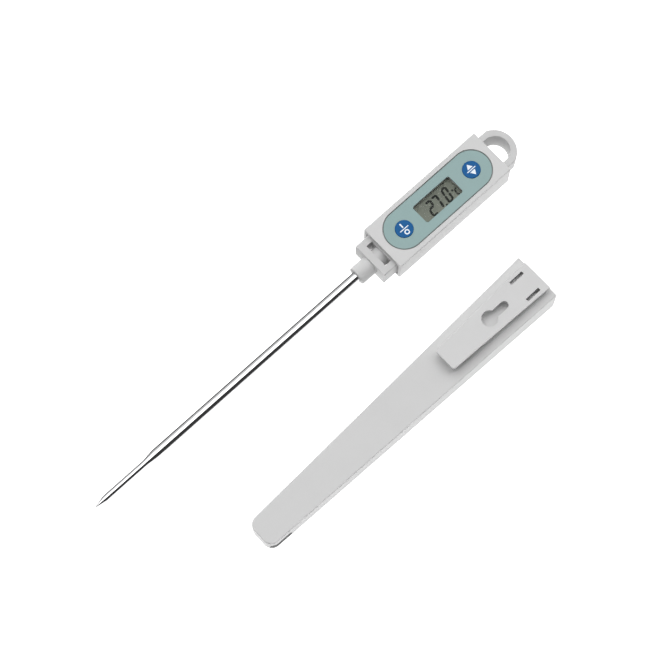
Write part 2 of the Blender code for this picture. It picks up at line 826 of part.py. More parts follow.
def make_screw(name, x, material):
    head_top = BOARD_BOTTOM - GAP
    head_bottom = head_top - SCREW_HEAD_HEIGHT
    point = FRAME_BOTTOM + SCREW_LENGTH_ABOVE_BOARD
    profile = (
        (point, 0),
        (point, SCREW_RADIUS),
        (head_top, SCREW_RADIUS),
        (head_top, SCREW_HEAD_RADIUS),
        (head_bottom, SCREW_HEAD_RADIUS),
        (head_bottom, 0),
    )
    stand_at(turned(name, profile, 16, material), x)


def make_switch(name, x, material):
    bottom = BOARD_TOP + GAP
    half = SWITCH_HALF_WIDTH
    base = box((x - half, -half, bottom), (x + half, half, bottom + SWITCH_HEIGHT))
    body = add_solid(base, name, parts, material)
    start = (x, 0, bottom + SWITCH_HEIGHT / 2)
    end = (x, 0, bottom + PLUNGER_HEIGHT)
    shape_with(body, rod(start, end, PLUNGER_RADIUS, 20), name + "_plunger", "UNION")


def make_controller(material):
    top = BOARD_BOTTOM - GAP
    dome = [
        (top - BLOB_HEIGHT * math.sin(angle), BLOB_RADIUS * math.cos(angle))
        for angle in (math.pi / 2 * step / 6 for step in range(7))
    ]
    dome[-1] = (top - BLOB_HEIGHT, 0)
    stand_at(turned("controller_blob", [(top, 0)] + dome, 24, material), BLOB_X)


def make_crystal(material):
    z = BOARD_BOTTOM - GAP - CRYSTAL_RADIUS
    can = rod((*CRYSTAL_START, z), (*CRYSTAL_END, z), CRYSTAL_RADIUS, 20)
    add_solid(can, "timing_crystal", parts, material)


def make_chip(name, place, height, material):
    top = BOARD_BOTTOM - GAP
    x, y = place
    low = (x - CHIP_LENGTH / 2, y - CHIP_WIDTH / 2, top - height)
    high = (x + CHIP_LENGTH / 2, y + CHIP_WIDTH / 2, top)
    add_solid(box(low, high), name, parts, material)


def make_contacts(material):
    foot_z = BOARD_BOTTOM - GAP - CONTACT_THICKNESS / 2
    leg_x = CELL_X - CELL_RADIUS - GAP - CONTACT_THICKNESS
    positive = ((leg_x - POSITIVE_FOOT, foot_z), (leg_x, foot_z), (leg_x, POSITIVE_LEG_END))
    bent_strip("contact_positive", positive, POSITIVE_HALF_WIDTH, CONTACT_THICKNESS, material)
    touch_z = CELL_BOTTOM + CELL_HEIGHT + GAP + CONTACT_THICKNESS / 2
    negative = (
        (NEGATIVE_FOOT_REAR, foot_z),
        (NEGATIVE_FOOT_FRONT, foot_z),
        (NEGATIVE_TOUCH_X, touch_z),
        (NEGATIVE_TIP_X, touch_z + NEGATIVE_TIP_RISE),
    )
    bent_strip("contact_negative", negative, NEGATIVE_HALF_WIDTH, CONTACT_THICKNESS, material)


# Battery cap


def make_cell(material):
    top = CELL_BOTTOM + CELL_HEIGHT
    shoulder = top - CELL_STEP_HEIGHT
    profile = (
        (top, 0),
        (top, CELL_TOP_RADIUS),
        (shoulder, CELL_STEP_RADIUS),
        (shoulder, CELL_RADIUS - CELL_RIM),
        (shoulder - CELL_RIM, CELL_RADIUS),
        (CELL_BOTTOM + CELL_RIM, CELL_RADIUS),
        (CELL_BOTTOM, CELL_RADIUS - CELL_RIM),
        (CELL_BOTTOM, 0),
    )
    return stand_at(turned("button_cell", profile, 40, material), CELL_X)


def make_tray(material):
    body = box((TRAY_FRONT, -TRAY_HALF_WIDTH, TRAY_BOTTOM), (TRAY_REAR, TRAY_HALF_WIDTH, TRAY_TOP))
    bevel_where(body, lambda e: runs_along(e, 2), TRAY_CORNER, 2)
    tray = add_solid(body, "battery_tray", parts, material)
    pocket = rod((CELL_X, 0, TRAY_FLOOR), (CELL_X, 0, TRAY_TOP + OVERRUN), CELL_RADIUS + GAP, 40)
    shape_with(tray, pocket, "cell_pocket")
    return tray


def loop_outline():
    """An arch seen from above: two straight legs joined by an arc, with a D-shaped eye."""
    spread = math.degrees(math.asin(LOOP_HALF_WIDTH / LOOP_OUTER_RADIUS))
    foot = CAP_PLUG_REAR - OVERRUN
    outline = [(foot, -LOOP_HALF_WIDTH)]
    outline += arc((LOOP_ARC_X, 0), LOOP_OUTER_RADIUS, -spread, spread, 28)
    outline += [(foot, LOOP_HALF_WIDTH), (foot, EYE_RADIUS)]
    outline += arc((EYE_ARC_X, 0), EYE_RADIUS, 90, -90, 24)
    outline.append((foot, -EYE_RADIUS))
    return outline


def on_loop_back_edge(edge):
    """True for the outer edge of the loop's back face."""
    point = middle(edge)
    if any(v.co.z > LOOP_BOTTOM + MERGE_DISTANCE for v in edge.verts):
        return False
    on_side = abs(point.y) > LOOP_HALF_WIDTH - MERGE_DISTANCE
    on_arc = math.hypot(point.x - LOOP_ARC_X, point.y) > LOOP_OUTER_RADIUS - ARC_SAG
    return on_side or on_arc


def make_battery_cap(material):
    arch = flat_mesh([loop_outline()], LOOP_BOTTOM, LOOP_TOP)
    bmesh.ops.dissolve_limit(arch, angle_limit=FLAT_ANGLE, verts=arch.verts, edges=arch.edges)
    bevel_where(arch, on_loop_back_edge, LOOP_BACK_EDGE_RADIUS, 3)
    cap = add_solid(arch, "battery_cap", parts, material)
    shape_with(cap, plug_shape(CAP_PLUG_FRONT, CAP_PLUG_REAR), "cap_plug", "UNION")
    shape_with(cap, groove_ring(CAP_SEAL_X), "cap_groove")
    for name, side in (("loop_notch_left", 1), ("loop_notch_right", -1)):
        place = (HOUSING_REAR + LOOP_NOTCH_RADIUS, side * (LOOP_HALF_WIDTH + LOOP_NOTCH_OFFSET))
        notch = rod((*place, 0), (*place, HOUSING_HEIGHT), LOOP_NOTCH_RADIUS, 12)
        shape_with(cap, notch, name)
    return cap


# Sheath and clip


def taper(low_x, high_x, low_size, high_size):
    """A wedge along X: its width is centred on the X axis, and its underside stays flat."""
    bm = box((-1, -1, -1), (1, 1, 1))
    for vertex in bm.verts:
        width, bottom, top = high_size if vertex.co.x > 0 else low_size
        x = high_x if vertex.co.x > 0 else low_x
        z = top if vertex.co.z > 0 else bottom
        vertex.co = (x, vertex.co.y * width / 2, z)
    return bm


def upright_at(edge, x):
    """True for an upright edge in the plane at x."""
    return runs_along(edge, 2) and abs(middle(edge).x - x) < MERGE_DISTANCE


def make_sheath(material):
    outer = taper(
        SHEATH_TIP,
        0,
        (SHEATH_TIP_WIDTH, 0, SHEATH_TIP_HEIGHT),
        (SHEATH_MOUTH_WIDTH, 0, SHEATH_MOUTH_HEIGHT),
    )
    bevel_where(outer, lambda e: upright_at(e, SHEATH_TIP), SHEATH_TIP_CORNER, 6)
    bevel_where(
        outer,
        lambda e: middle(e).z < MERGE_DISTANCE and middle(e).x < -MERGE_DISTANCE,
        SHEATH_LOWER_EDGE_RADIUS,
        3,
    )
    bevel_where(
        outer,
        lambda e: min(v.co.z for v in e.verts) > SHEATH_TIP_HEIGHT - MERGE_DISTANCE
        and middle(e).x < -MERGE_DISTANCE,
        SHEATH_UPPER_EDGE_RADIUS,
        2,
    )
    sheath = add_solid(outer, "sheath", parts, material)
    inner_tip = SHEATH_TIP + SHEATH_TIP_WALL
    inner = taper(
        inner_tip,
        OVERRUN,
        (SHEATH_TIP_WIDTH - 2 * SHEATH_WALL, SHEATH_WALL, SHEATH_TIP_HEIGHT - SHEATH_WALL),
        (SHEATH_MOUTH_WIDTH - 2 * SHEATH_WALL, SHEATH_WALL, SHEATH_MOUTH_HEIGHT - SHEATH_WALL),
    )
    bevel_where(inner, lambda e: upright_at(e, inner_tip), SHEATH_TIP_CORNER - SHEATH_WALL, 4)
    shape_with(sheath, inner, "sheath_cavity")
    shape_with(sheath, drain_shape(), "drain_notch")
    return sheath


def drain_shape():
    """A block outside the wall's inner face, with a sloping rear end."""
    low = (SHEATH_TIP - OVERRUN, -SHEATH_TIP_WIDTH, DRAIN_BOTTOM)
    drain = box(low, (DRAIN_REAR_AT_BOTTOM, DRAIN_INNER_Y, DRAIN_TOP))
    for vertex in drain.verts:
        if vertex.co.x > SHEATH_TIP and vertex.co.z > DRAIN_BOTTOM:
            vertex.co.x = DRAIN_REAR_AT_TOP
    return drain


def clip_outline():
    half_rear = CLIP_REAR_WIDTH / 2
    nose = CLIP_FRONT + CLIP_CORNER
    side = CLIP_FRONT_WIDTH / 2 - CLIP_CORNER
    outline = [(CLIP_REAR, -half_rear), (CLIP_REAR, half_rear)]
    outline += arc((nose, side), CLIP_CORNER, 90, 180, 5)
    outline += arc((nose, -side), CLIP_CORNER, 180, 270, 5)
    return outline


def keyhole_outline():
    half_angle = math.degrees(math.asin(KEYHOLE_SLOT_RADIUS / KEYHOLE_RADIUS))
    outline = arc((KEYHOLE_X, 0), KEYHOLE_RADIUS, half_angle, 360 - half_angle, 28)
    outline += arc((KEYHOLE_SLOT_X, 0), KEYHOLE_SLOT_RADIUS, -90, 90, 10)
    return outline


def sheath_top_at(x):
    slope = (SHEATH_MOUTH_HEIGHT - SHEATH_TIP_HEIGHT) / SHEATH_LENGTH
    return SHEATH_MOUTH_HEIGHT + slope * x


def make_clip(material):
    plate = flat_mesh([clip_outline(), keyhole_outline()], CLIP_TOP - CLIP_THICKNESS, CLIP_TOP)
    clip = add_solid(plate, "pocket_clip", parts, material)
    inside_plate = CLIP_TOP - CLIP_THICKNESS / 2
    foot = taper(
        FOOT_FRONT,
        CLIP_REAR,
        (2 * FOOT_HALF_WIDTH, sheath_top_at(FOOT_FRONT) + GAP, inside_plate),
        (2 * FOOT_HALF_WIDTH, sheath_top_at(CLIP_REAR) + GAP, inside_plate),
    )
    shape_with(clip, foot, "clip_foot", "UNION")
    for name, side in (("clip_slot_left", 1), ("clip_slot_right", -1)):
        centre = side * SLOT_Y
        low = (SLOT_START, centre - SLOT_WIDTH / 2, SHEATH_TIP_HEIGHT)
        high = (SLOT_END, centre + SLOT_WIDTH / 2, CLIP_TOP + OVERRUN)
        shape_with(clip, box(low, high), name)
    return clip


# Assembly


def build():
    housing_plastic = surface("housing_plastic", (0.66, 0.66, 0.66), 0.55)
    nose_plastic = surface("nose_plastic", (0.62, 0.62, 0.62), 0.55)
    steel = surface("polished_steel", (0.78, 0.78, 0.79), 0.12, 1.0)
    panel_film = surface("panel_film", (0.30, 0.42, 0.41), 0.45)
    clear = surface("clear_window", (0.85, 0.88, 0.86), 0.05, 0.0, 0.3)
    blue = surface("button_blue", (0.02, 0.12, 0.33), 0.4)
    lcd_glass = surface("lcd_glass", (0.17, 0.18, 0.15), 0.25)
    cap_plastic = surface("cap_plastic", (0.60, 0.60, 0.60), 0.55)
    sheath_plastic = surface("sheath_plastic", (0.64, 0.64, 0.64), 0.6)
    clip_plastic = surface("clip_plastic", (0.66, 0.66, 0.66), 0.6)
    rubber = surface("seal_rubber", (0.03, 0.03, 0.03), 0.8)
    glass_bead = surface("bead_glass", (0.45, 0.25, 0.12), 0.2)
    lead_insulation = surface("lead_insulation", (0.60, 0.08, 0.05), 0.5)
    sleeve_plastic = surface("sleeve_plastic", (0.80, 0.78, 0.70), 0.4)
    potting = surface("potting_resin", (0.05, 0.05, 0.05), 0.4)
    board_green = surface("board_laminate", (0.02, 0.16, 0.07), 0.45)
    frame_white = surface("frame_plastic", (0.75, 0.75, 0.73), 0.5)
    elastomer = surface("connector_elastomer", (0.12, 0.12, 0.12), 0.7)
    screw_steel = surface("screw_steel", (0.55, 0.55, 0.56), 0.35, 1.0)
    switch_black = surface("switch_plastic", (0.04, 0.04, 0.04), 0.5)
    ceramic = surface("capacitor_ceramic", (0.50, 0.36, 0.22), 0.5)
    contact_metal = surface("contact_metal", (0.72, 0.68, 0.58), 0.3, 1.0)
    cell_steel = surface("cell_steel", (0.70, 0.70, 0.70), 0.25, 1.0)

    make_housing(housing_plastic)
    make_panel(panel_film)
    make_lens(clear)
    make_button("on_off_button", ON_OFF_X, blue)
    make_button("max_min_button", MAX_MIN_X, blue)

    make_probe_holder(nose_plastic)
    make_seal("housing_gasket", NOSE_SEAL_X, rubber)
    make_probe(steel)
    make_sensor(glass_bead)
    make_leads(lead_insulation)
    make_sleeve(sleeve_plastic)
    make_tube_seal(potting)

    make_board(board_green)
    make_display(lcd_glass)
    make_display_frame(frame_white)
    make_connectors(elastomer)
    make_screw("frame_screw_front", -SCREW_X, screw_steel)
    make_screw("frame_screw_rear", SCREW_X, screw_steel)
    make_switch("on_off_switch", ON_OFF_X, switch_black)
    make_switch("max_min_switch", MAX_MIN_X, switch_black)
    make_controller(potting)
    make_crystal(cell_steel)
    make_chip("chip_capacitor", CAPACITOR_PLACE, CAPACITOR_HEIGHT, ceramic)
    make_chip("chip_resistor", RESISTOR_PLACE, RESISTOR_HEIGHT, switch_black)
    make_contacts(contact_metal)

    cap_slide = joint_empty("cap_slide", (HOUSING_REAR, 0, AXIS_HEIGHT))
    ride_on(
        cap_slide,
        make_battery_cap(cap_plastic),
        make_seal("cap_seal", CAP_SEAL_X, rubber),
        make_tray(cap_plastic),
        make_cell(cell_steel),
    )

    sheath_slide = joint_empty("sheath_slide", SHEATH_PLACE)
    sheath_slide.rotation_euler = (0, 0, SHEATH_YAW)
    draw_in(sheath_slide, make_sheath(sheath_plastic))
    clip_hinge = joint_empty("clip_hinge", CLIP_HINGE)
    ride_on(clip_hinge, make_clip(clip_plastic))
    clip_hinge.parent = sheath_slide


clear_scene()
parts = new_collection(ASSEMBLY)
tools = new_collection("tools")
build()
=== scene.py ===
"""Looks of the pen thermometer for soil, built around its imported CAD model.

Metres, in the CAD frame: +X runs from the probe's point to the hanging loop, +Z out of the display,
and the sheath lies on the -Y side.
"""

import json
import math

import bmesh
import bpy
from mathutils import Matrix, Vector


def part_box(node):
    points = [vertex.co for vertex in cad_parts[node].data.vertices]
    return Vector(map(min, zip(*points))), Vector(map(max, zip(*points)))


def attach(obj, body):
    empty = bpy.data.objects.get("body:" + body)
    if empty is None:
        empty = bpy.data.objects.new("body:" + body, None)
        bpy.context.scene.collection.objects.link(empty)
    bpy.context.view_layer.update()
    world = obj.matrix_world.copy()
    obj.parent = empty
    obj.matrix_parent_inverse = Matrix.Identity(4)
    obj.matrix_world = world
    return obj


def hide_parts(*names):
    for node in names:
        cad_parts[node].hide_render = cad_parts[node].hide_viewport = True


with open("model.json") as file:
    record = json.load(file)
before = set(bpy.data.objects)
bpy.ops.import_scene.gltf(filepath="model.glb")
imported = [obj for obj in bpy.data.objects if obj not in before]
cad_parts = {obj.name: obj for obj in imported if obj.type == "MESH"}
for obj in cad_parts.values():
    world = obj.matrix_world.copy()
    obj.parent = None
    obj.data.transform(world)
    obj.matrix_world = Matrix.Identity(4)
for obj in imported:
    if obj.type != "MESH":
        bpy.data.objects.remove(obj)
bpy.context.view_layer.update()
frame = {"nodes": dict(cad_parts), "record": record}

TINY = 0.00001
MERGE_DISTANCE = 0.000001
FLAT_ANGLE = 0.001
PARALLEL_COSINE = 0.9
OVERRUN = 0.001
SLIDE_GAP = 0.0002
SMOOTH_ANGLE = math.radians(32)

# Housing
HOUSING_LOW, HOUSING_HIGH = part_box("housing")
HOUSING_TOP = HOUSING_HIGH[2]
AXIS_HEIGHT = HOUSING_TOP / 2
HOUSING_HALF_WIDTH = HOUSING_HIGH[1]
SIDE_WALL = 0.0016
BACK_WALL = 0.0015
FACE_WALL = 0.0020
CAVITY_HALF_WIDTH = HOUSING_HALF_WIDTH - SIDE_WALL
CAVITY_TOP = HOUSING_TOP - FACE_WALL
CAVITY_CORNER = 0.0008
BACK_EDGE = 0.0020
FACE_EDGE = 0.0005
END_RIM = 0.00025
RECESS_RIM = 0.00012
RAIL_TOP = 0.0086
RAIL_THICKNESS = 0.0010
RAIL_REACH = 0.0011

# Panel, window and buttons
PANEL_LOW, PANEL_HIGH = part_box("panel_overlay")
PANEL_RADIUS = PANEL_HIGH[1]
ON_OFF_X = PANEL_LOW[0] + PANEL_RADIUS
MAX_MIN_X = PANEL_HIGH[0] - PANEL_RADIUS
RECESS_FLOOR = PANEL_LOW[2] - 0.0003
# Width and height of the thin dark ring round the panel film: painted shade for the gap at the film's
# edge
GAP_SHADE_WIDTH = 0.00028
GAP_SHADE_HEIGHT = 0.00003
WINDOW_LOW, WINDOW_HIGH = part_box("window_lens")
WINDOW_HALF_LENGTH = WINDOW_HIGH[0] + SLIDE_GAP
WINDOW_HALF_WIDTH = WINDOW_HIGH[1] + SLIDE_GAP
WINDOW_CORNER = 0.0010
FILM_RIM = 0.00006
LENS_RIM = 0.00012
BUTTON_RADIUS = 0.0040
BUTTON_HOLE_GAP = 0.0003
BUTTON_CAP_RADIUS = 0.00393
FILM_HOLE_RADIUS = 0.00399
BUTTON_EDGE = 0.00022
BUTTON_FLANGE = 0.0006
BUTTON_FLANGE_GAP = 0.0003
BUTTON_SEGMENTS = 72
BUTTON_STEM_RADIUS = 0.0016
MARK_HEIGHT = 0.00002
MARK_STROKE = 0.00042
MARK_SEGMENTS = 32
MARK_LINE_HALF_LENGTH = 0.0023
POWER_BAR_START = 0.00066
POWER_BAR_END = 0.00285
POWER_BAR_STROKE = 0.00060
POWER_RING_Y = -0.00178
POWER_RING_OUTER = 0.00118
POWER_RING_INNER = 0.00064
TRIANGLE_HALF_WIDTH = 0.0014
TRIANGLE_BASE = 0.0007
TRIANGLE_POINT = 0.0029

# Display reading: slanted seven-segment figures
DIGIT_TOP = 0.00250
DIGIT_MIDDLE = -0.00045
DIGIT_BOTTOM = -0.00385
DIGIT_SLANT = 0.165
DIGIT_STROKE = 0.00100
SMALL_STROKE = 0.00068
SEGMENT_GAP = 0.00002
DOT_SEGMENTS = 16
INK_HEIGHT = 0.00008

# Nose and probe
COLLAR_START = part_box("probe_holder")[0][0]
COLLAR_RADIUS = 0.0042
COLLAR_EDGE = 0.00035
BLOCK_START = -0.0390
BLOCK_HALF_WIDTH = 0.0089
BLOCK_BOTTOM = 0.0026
BLOCK_TOP = 0.0129
BLOCK_EDGE = 0.0006
BLOCK_FRONT_EDGE = 0.0003
NOSE_WINDOW_START = -0.03565
NOSE_WINDOW_END = -0.03245
NOSE_WINDOW_HALF_WIDTH = 0.0058
NECK_RADIUS = 0.0044
PLUG_START = HOUSING_LOW[0] + 0.0007
PLUG_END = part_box("probe_holder")[1][0]
PLUG_CLEARANCE = 0.0002
PLUG_RIM = 0.0002
NOSE_SEGMENTS = 96
GROOVE_DEPTH = 0.0009
GROOVE_HALF_WIDTH = 0.0008
GROOVE_CORNER = 0.0010
PROBE_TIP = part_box("probe_tube")[0][0]
PROBE_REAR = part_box("probe_tube")[1][0]
PROBE_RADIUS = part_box("probe_tube")[1][1]
PROBE_TIP_RADIUS = 0.00145
PROBE_WALL = 0.0004
POINT_LENGTH = 0.0052
POINT_RADIUS = 0.00022
THIN_END = -0.1648
TAPER_END = -0.1592
BORE_START = PROBE_TIP + 0.0054
PROBE_BORE_RADIUS = 0.0024
PROBE_END_GAP = 0.0003
WIRE_BORE_RADIUS = 0.0012

# Battery cap
CAP_LOW, CAP_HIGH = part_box("battery_cap")
CAP_PLUG_FRONT = CAP_LOW[0]
CAP_PLUG_REAR = HOUSING_HIGH[0] - 0.0004
CAP_SEAL_X = 0.0285
LOOP_BOTTOM = 0.0026
LOOP_TOP = 0.0130
LOOP_OUTER_RADIUS = 0.0098
LOOP_ARC_X = CAP_HIGH[0] - LOOP_OUTER_RADIUS
LOOP_HALF_WIDTH = 0.00905
EYE_ARC_X = LOOP_ARC_X + 0.0008
EYE_RADIUS = 0.0062
LOOP_BACK_EDGE = 0.0018
LOOP_FACE_EDGE = 0.0003
LOOP_NOTCH_RADIUS = 0.0004
LOOP_NOTCH_DEPTH = 0.0030
LOOP_NOTCH_WALL = 0.0001
LOOP_STEPS = 40
ARC_SAG = 0.0001

# Sheath and clip, in the sheath's own frame: its origin is the middle of its mouth, on the table
SHEATH_PLACE = Matrix.Translation((0.0070, -0.0530, 0)) @ Matrix.Rotation(math.radians(0.5), 4, "Z")
SHEATH_LENGTH = 0.1580
SHEATH_MOUTH = (0.0227, 0.0160)
SHEATH_TIP = (0.0136, 0.0105)
SHEATH_WALL = 0.0014
SHEATH_TIP_WALL = 0.0008
SHEATH_TIP_CORNER = 0.0040
SHEATH_LOWER_EDGE = 0.0010
SHEATH_UPPER_EDGE = 0.0005
MOUTH_RIM = 0.00025
DRAIN_REACH = 0.0002
DRAIN_BOTTOM = 0.0016
DRAIN_TOP = 0.0064
DRAIN_REAR_AT_BOTTOM = -SHEATH_LENGTH + 0.0120
DRAIN_REAR_AT_TOP = -SHEATH_LENGTH + 0.0106
CLIP_REAR = -0.0007
CLIP_FRONT = -0.0543
CLIP_REAR_WIDTH = 0.0147
CLIP_FRONT_WIDTH = 0.0107
CLIP_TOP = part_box("pocket_clip")[1][2]
CLIP_THICKNESS = 0.0018
CLIP_CORNER = 0.0012
CLIP_EDGE = 0.00022
CLIP_GAP = 0.0003
FOOT_FRONT = -0.0136
FOOT_HALF_WIDTH = 0.0059
SLOT_START = -0.0117
SLOT_END = -0.0045
SLOT_WIDTH = 0.0014
SLOT_Y = 0.0049
KEYHOLE_X = -0.0284
KEYHOLE_RADIUS = 0.00345
KEYHOLE_SLOT_X = -0.0200
KEYHOLE_SLOT_RADIUS = 0.00175
KEYHOLE_STEPS = 48

# Camera, as the photograph was taken
CAMERA_AZIMUTH = math.radians(-42.764)
CAMERA_ELEVATION = math.radians(74.08)
CAMERA_DISTANCE = 0.850
CAMERA_TARGET = Vector((-0.069406, -0.011316, 0.0015))
CAMERA_LENS = 108.71
CAMERA_SENSOR = 36.0
CAMERA_NEAR = 0.01
CAMERA_FAR = 50

# Studio: a bright half of the sky on the +X +Y side and a dim half opposite
SKY_HIGH = 2.85
SKY_LOW = 0.75
SKY_DIM = 0.05
SKY_TOWARDS = (0.40, 0.88, 0.109)
SKY_EDGE = 0.05
SKY_LOW_END = 0.62
SKY_HIGH_START = 0.88
FLOOR_SIZE = 6.0
FLOOR_GLOW = 1.32
FLOOR_COLOUR = 0.24
FILL_LENGTH = 4.0
FILL_HEIGHT = 0.42
FILL_DISTANCE = 1.2
FILL_RADIANCE = 0.9
FLAG_START = 0.0042
FLAG_END = 0.60
FLAG_LENGTH = 0.60
FLAG_X = -0.10
FLAG_COLOUR = 0.02


# Outlines


def arc(centre, radius, start, end, steps):
    """Points from the start angle to the end angle, in degrees, both ends included."""
    points = []
    for step in range(steps + 1):
        angle = math.radians(start + (end - start) * step / steps)
        points.append((centre[0] + radius * math.cos(angle), centre[1] + radius * math.sin(angle)))
    return points


def circle(centre, radius, steps=64):
    return arc(centre, radius, 0, 360, steps)[:-1]


def rounded_rectangle(low, high, radius, steps=8):
    corners = (
        ((high[0] - radius, high[1] - radius), 0),
        ((low[0] + radius, high[1] - radius), 90),
        ((low[0] + radius, low[1] + radius), 180),
        ((high[0] - radius, low[1] + radius), 270),
    )
    points = []
    for centre, start in corners:
        points += arc(centre, radius, start, start + 90, steps)
    return points


def stadium(left, right, radius, steps=48):
    return arc((right, 0), radius, -90, 90, steps) + arc((left, 0), radius, 90, 270, steps)


def window_outline(inset=0.0):
    length = WINDOW_HALF_LENGTH - inset
    width = WINDOW_HALF_WIDTH - inset
    return rounded_rectangle((-length, -width), (length, width), WINDOW_CORNER)


# Mesh building


def plate(outlines, bottom, top, rim=0.0, rim_steps=2):
    """A plate between two heights, with holes, whose edges are rounded by the rim."""
    curve = bpy.data.curves.new("outline", "CURVE")
    curve.dimensions = "2D"
    curve.fill_mode = "BOTH"
    curve.extrude = (top - bottom) / 2 - rim
    curve.bevel_depth = rim
    curve.bevel_resolution = rim_steps
    curve.offset = -rim
    for outline in outlines:
        spline = curve.splines.new("POLY")
        spline.points.add(len(outline) - 1)
        for point, (x, y) in zip(spline.points, outline):
            point.co = (x, y, 0, 1)
        spline.use_cyclic_u = True
    holder = bpy.data.objects.new("outline", curve)
    bpy.context.scene.collection.objects.link(holder)
    graph = bpy.context.evaluated_depsgraph_get()
    mesh = bpy.data.meshes.new_from_object(holder.evaluated_get(graph))
    bm = bmesh.new()
    bm.from_mesh(mesh)
    bmesh.ops.translate(bm, verts=bm.verts, vec=(0, 0, (bottom + top) / 2))
    bmesh.ops.remove_doubles(bm, verts=bm.verts, dist=MERGE_DISTANCE)
    bmesh.ops.dissolve_limit(bm, angle_limit=FLAT_ANGLE, verts=bm.verts, edges=bm.edges)
    bpy.data.objects.remove(holder)
    bpy.data.meshes.remove(mesh)
    return bm


def stand_along_x(bm):
    """Turns a plate drawn in X and Y so that its outline lies in Y and Z and its thickness in X."""
    stand = Matrix(((0, 0, 1, 0), (1, 0, 0, 0), (0, 1, 0, 0), (0, 0, 0, 1)))
    bmesh.ops.transform(bm, matrix=stand, verts=bm.verts)
    return bm


def box(low, high):
    bm = bmesh.new()
    bmesh.ops.create_cube(bm, size=1.0)
    bmesh.ops.scale(bm, verts=bm.verts, vec=Vector(high) - Vector(low))
    bmesh.ops.translate(bm, verts=bm.verts, vec=(Vector(low) + Vector(high)) / 2)
    return bm


def turned(profile, segments, upright_at=None):
    """A body of revolution about the probe's axis, or about an upright axis at x.

    The profile is (distance along the axis, radius); one that doesn't start and end on the axis
    closes on itself.
    """
    bm = bmesh.new()
    ring = [bm.verts.new((radius, 0, along)) for along, radius in profile]
    edges = [bm.edges.new(pair) for pair in zip(ring, ring[1:])]
    if profile[0][1] > 0:
        edges.append(bm.edges.new((ring[-1], ring[0])))
    bmesh.ops.spin(
        bm, geom=ring + edges, axis=(0, 0, 1), cent=(0, 0, 0), angle=2 * math.pi, steps=segments
    )
    bmesh.ops.remove_doubles(bm, verts=bm.verts, dist=MERGE_DISTANCE)
    if upright_at is None:
        lay = Matrix.Translation((0, 0, AXIS_HEIGHT)) @ Matrix.Rotation(math.pi / 2, 4, "Y")
        bmesh.ops.transform(bm, matrix=lay, verts=bm.verts)
    else:
        bmesh.ops.translate(bm, verts=bm.verts, vec=(upright_at, 0, 0))
    return bm


def rod(start, end, radius, segments=64):
    """A round bar along the probe's axis, between two values of x."""
    return turned(((start, 0), (start, radius), (end, radius), (end, 0)), segments)


def peg(x, y, bottom, top, radius, segments=32):
    bm = turned(((bottom, 0), (bottom, radius), (top, radius), (top, 0)), segments, x)
    bmesh.ops.translate(bm, verts=bm.verts, vec=(0, y, 0))
    return bm


def middle(edge):
    return (edge.verts[0].co + edge.verts[1].co) / 2


def runs_along(edge, axis):
    direction = (edge.verts[1].co - edge.verts[0].co).normalized()
    return abs(direction[axis]) > PARALLEL_COSINE


def round_edges(bm, chosen, width, segments=3):
    bmesh.ops.bevel(
        bm,
        geom=[edge for edge in bm.edges if chosen(edge)],
        offset=width,
        offset_type="OFFSET",
        segments=segments,
        profile=0.5,
        affect="EDGES",
        clamp_overlap=True,
    )
    return bm


def as_object(bm, name):
    bmesh.ops.recalc_face_normals(bm, faces=bm.faces)
    mesh = bpy.data.meshes.new(name)
    bm.to_mesh(mesh)
    bm.free()
    obj = bpy.data.objects.new(name, mesh)
    bpy.context.scene.collection.objects.link(obj)
    return obj


def combine(target, bm, operation):
    """Cuts the shape out of the target, or joins it on."""
    tool = as_object(bm, "tool")
    modifier = target.modifiers.new(operation, "BOOLEAN")
    modifier.operation = operation
    modifier.solver = "EXACT"
    modifier.object = tool
    graph = bpy.context.evaluated_depsgraph_get()
    mesh = bpy.data.meshes.new_from_object(target.evaluated_get(graph))
    target.modifiers.clear()
    target.data = mesh
    bpy.data.objects.remove(tool)


def cut(target, bm):
    combine(target, bm, "DIFFERENCE")


def join(target, bm):
    combine(target, bm, "UNION")


def reshape(obj, change):
    """Runs a bmesh change on an object's mesh."""
    bm = bmesh.new()
    bm.from_mesh(obj.data)
    change(bm)
    bm.to_mesh(obj.data)
    bm.free()


def dress(obj, material, slot, body, *nodes):
    """Smooth shading with flat faces kept flat, the material, and the piece's place in the frame."""
    obj.data.materials.clear()
    obj.data.materials.append(material)
    obj.data.shade_smooth()
    obj.data.set_sharp_from_angle(angle=SMOOTH_ANGLE)
    weighted = obj.modifiers.new("flat_faces", "WEIGHTED_NORMAL")
    weighted.keep_sharp = True
    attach(obj, body)
    if nodes:
        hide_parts(*nodes)
    return obj


# Materials

SRGB_KNEE = 0.04045
SRGB_SLOPE = 12.92
SRGB_OFFSET = 0.055
SRGB_POWER = 2.4
NOISE_LOW = 0.3
NOISE_HIGH = 0.7
LEAST_ROUGHNESS = 0.02
RELIEF_STRENGTH = 0.6


def linear(*channels):
    """Linear values of an sRGB colour given from 0 to 255."""
    values = []
    for channel in channels:
        value = channel / 255
        if value < SRGB_KNEE:
            values.append(value / SRGB_SLOPE)
        else:
            values.append(((value + SRGB_OFFSET) / (1 + SRGB_OFFSET)) ** SRGB_POWER)
    return tuple(values)


def noise(tree, vector, scale, detail):
    node = tree.nodes.new("ShaderNodeTexNoise")
    node.inputs["Scale"].default_value = scale
    node.inputs["Detail"].default_value = detail
    tree.links.new(vector, node.inputs["Vector"])
    return node.outputs["Fac"]


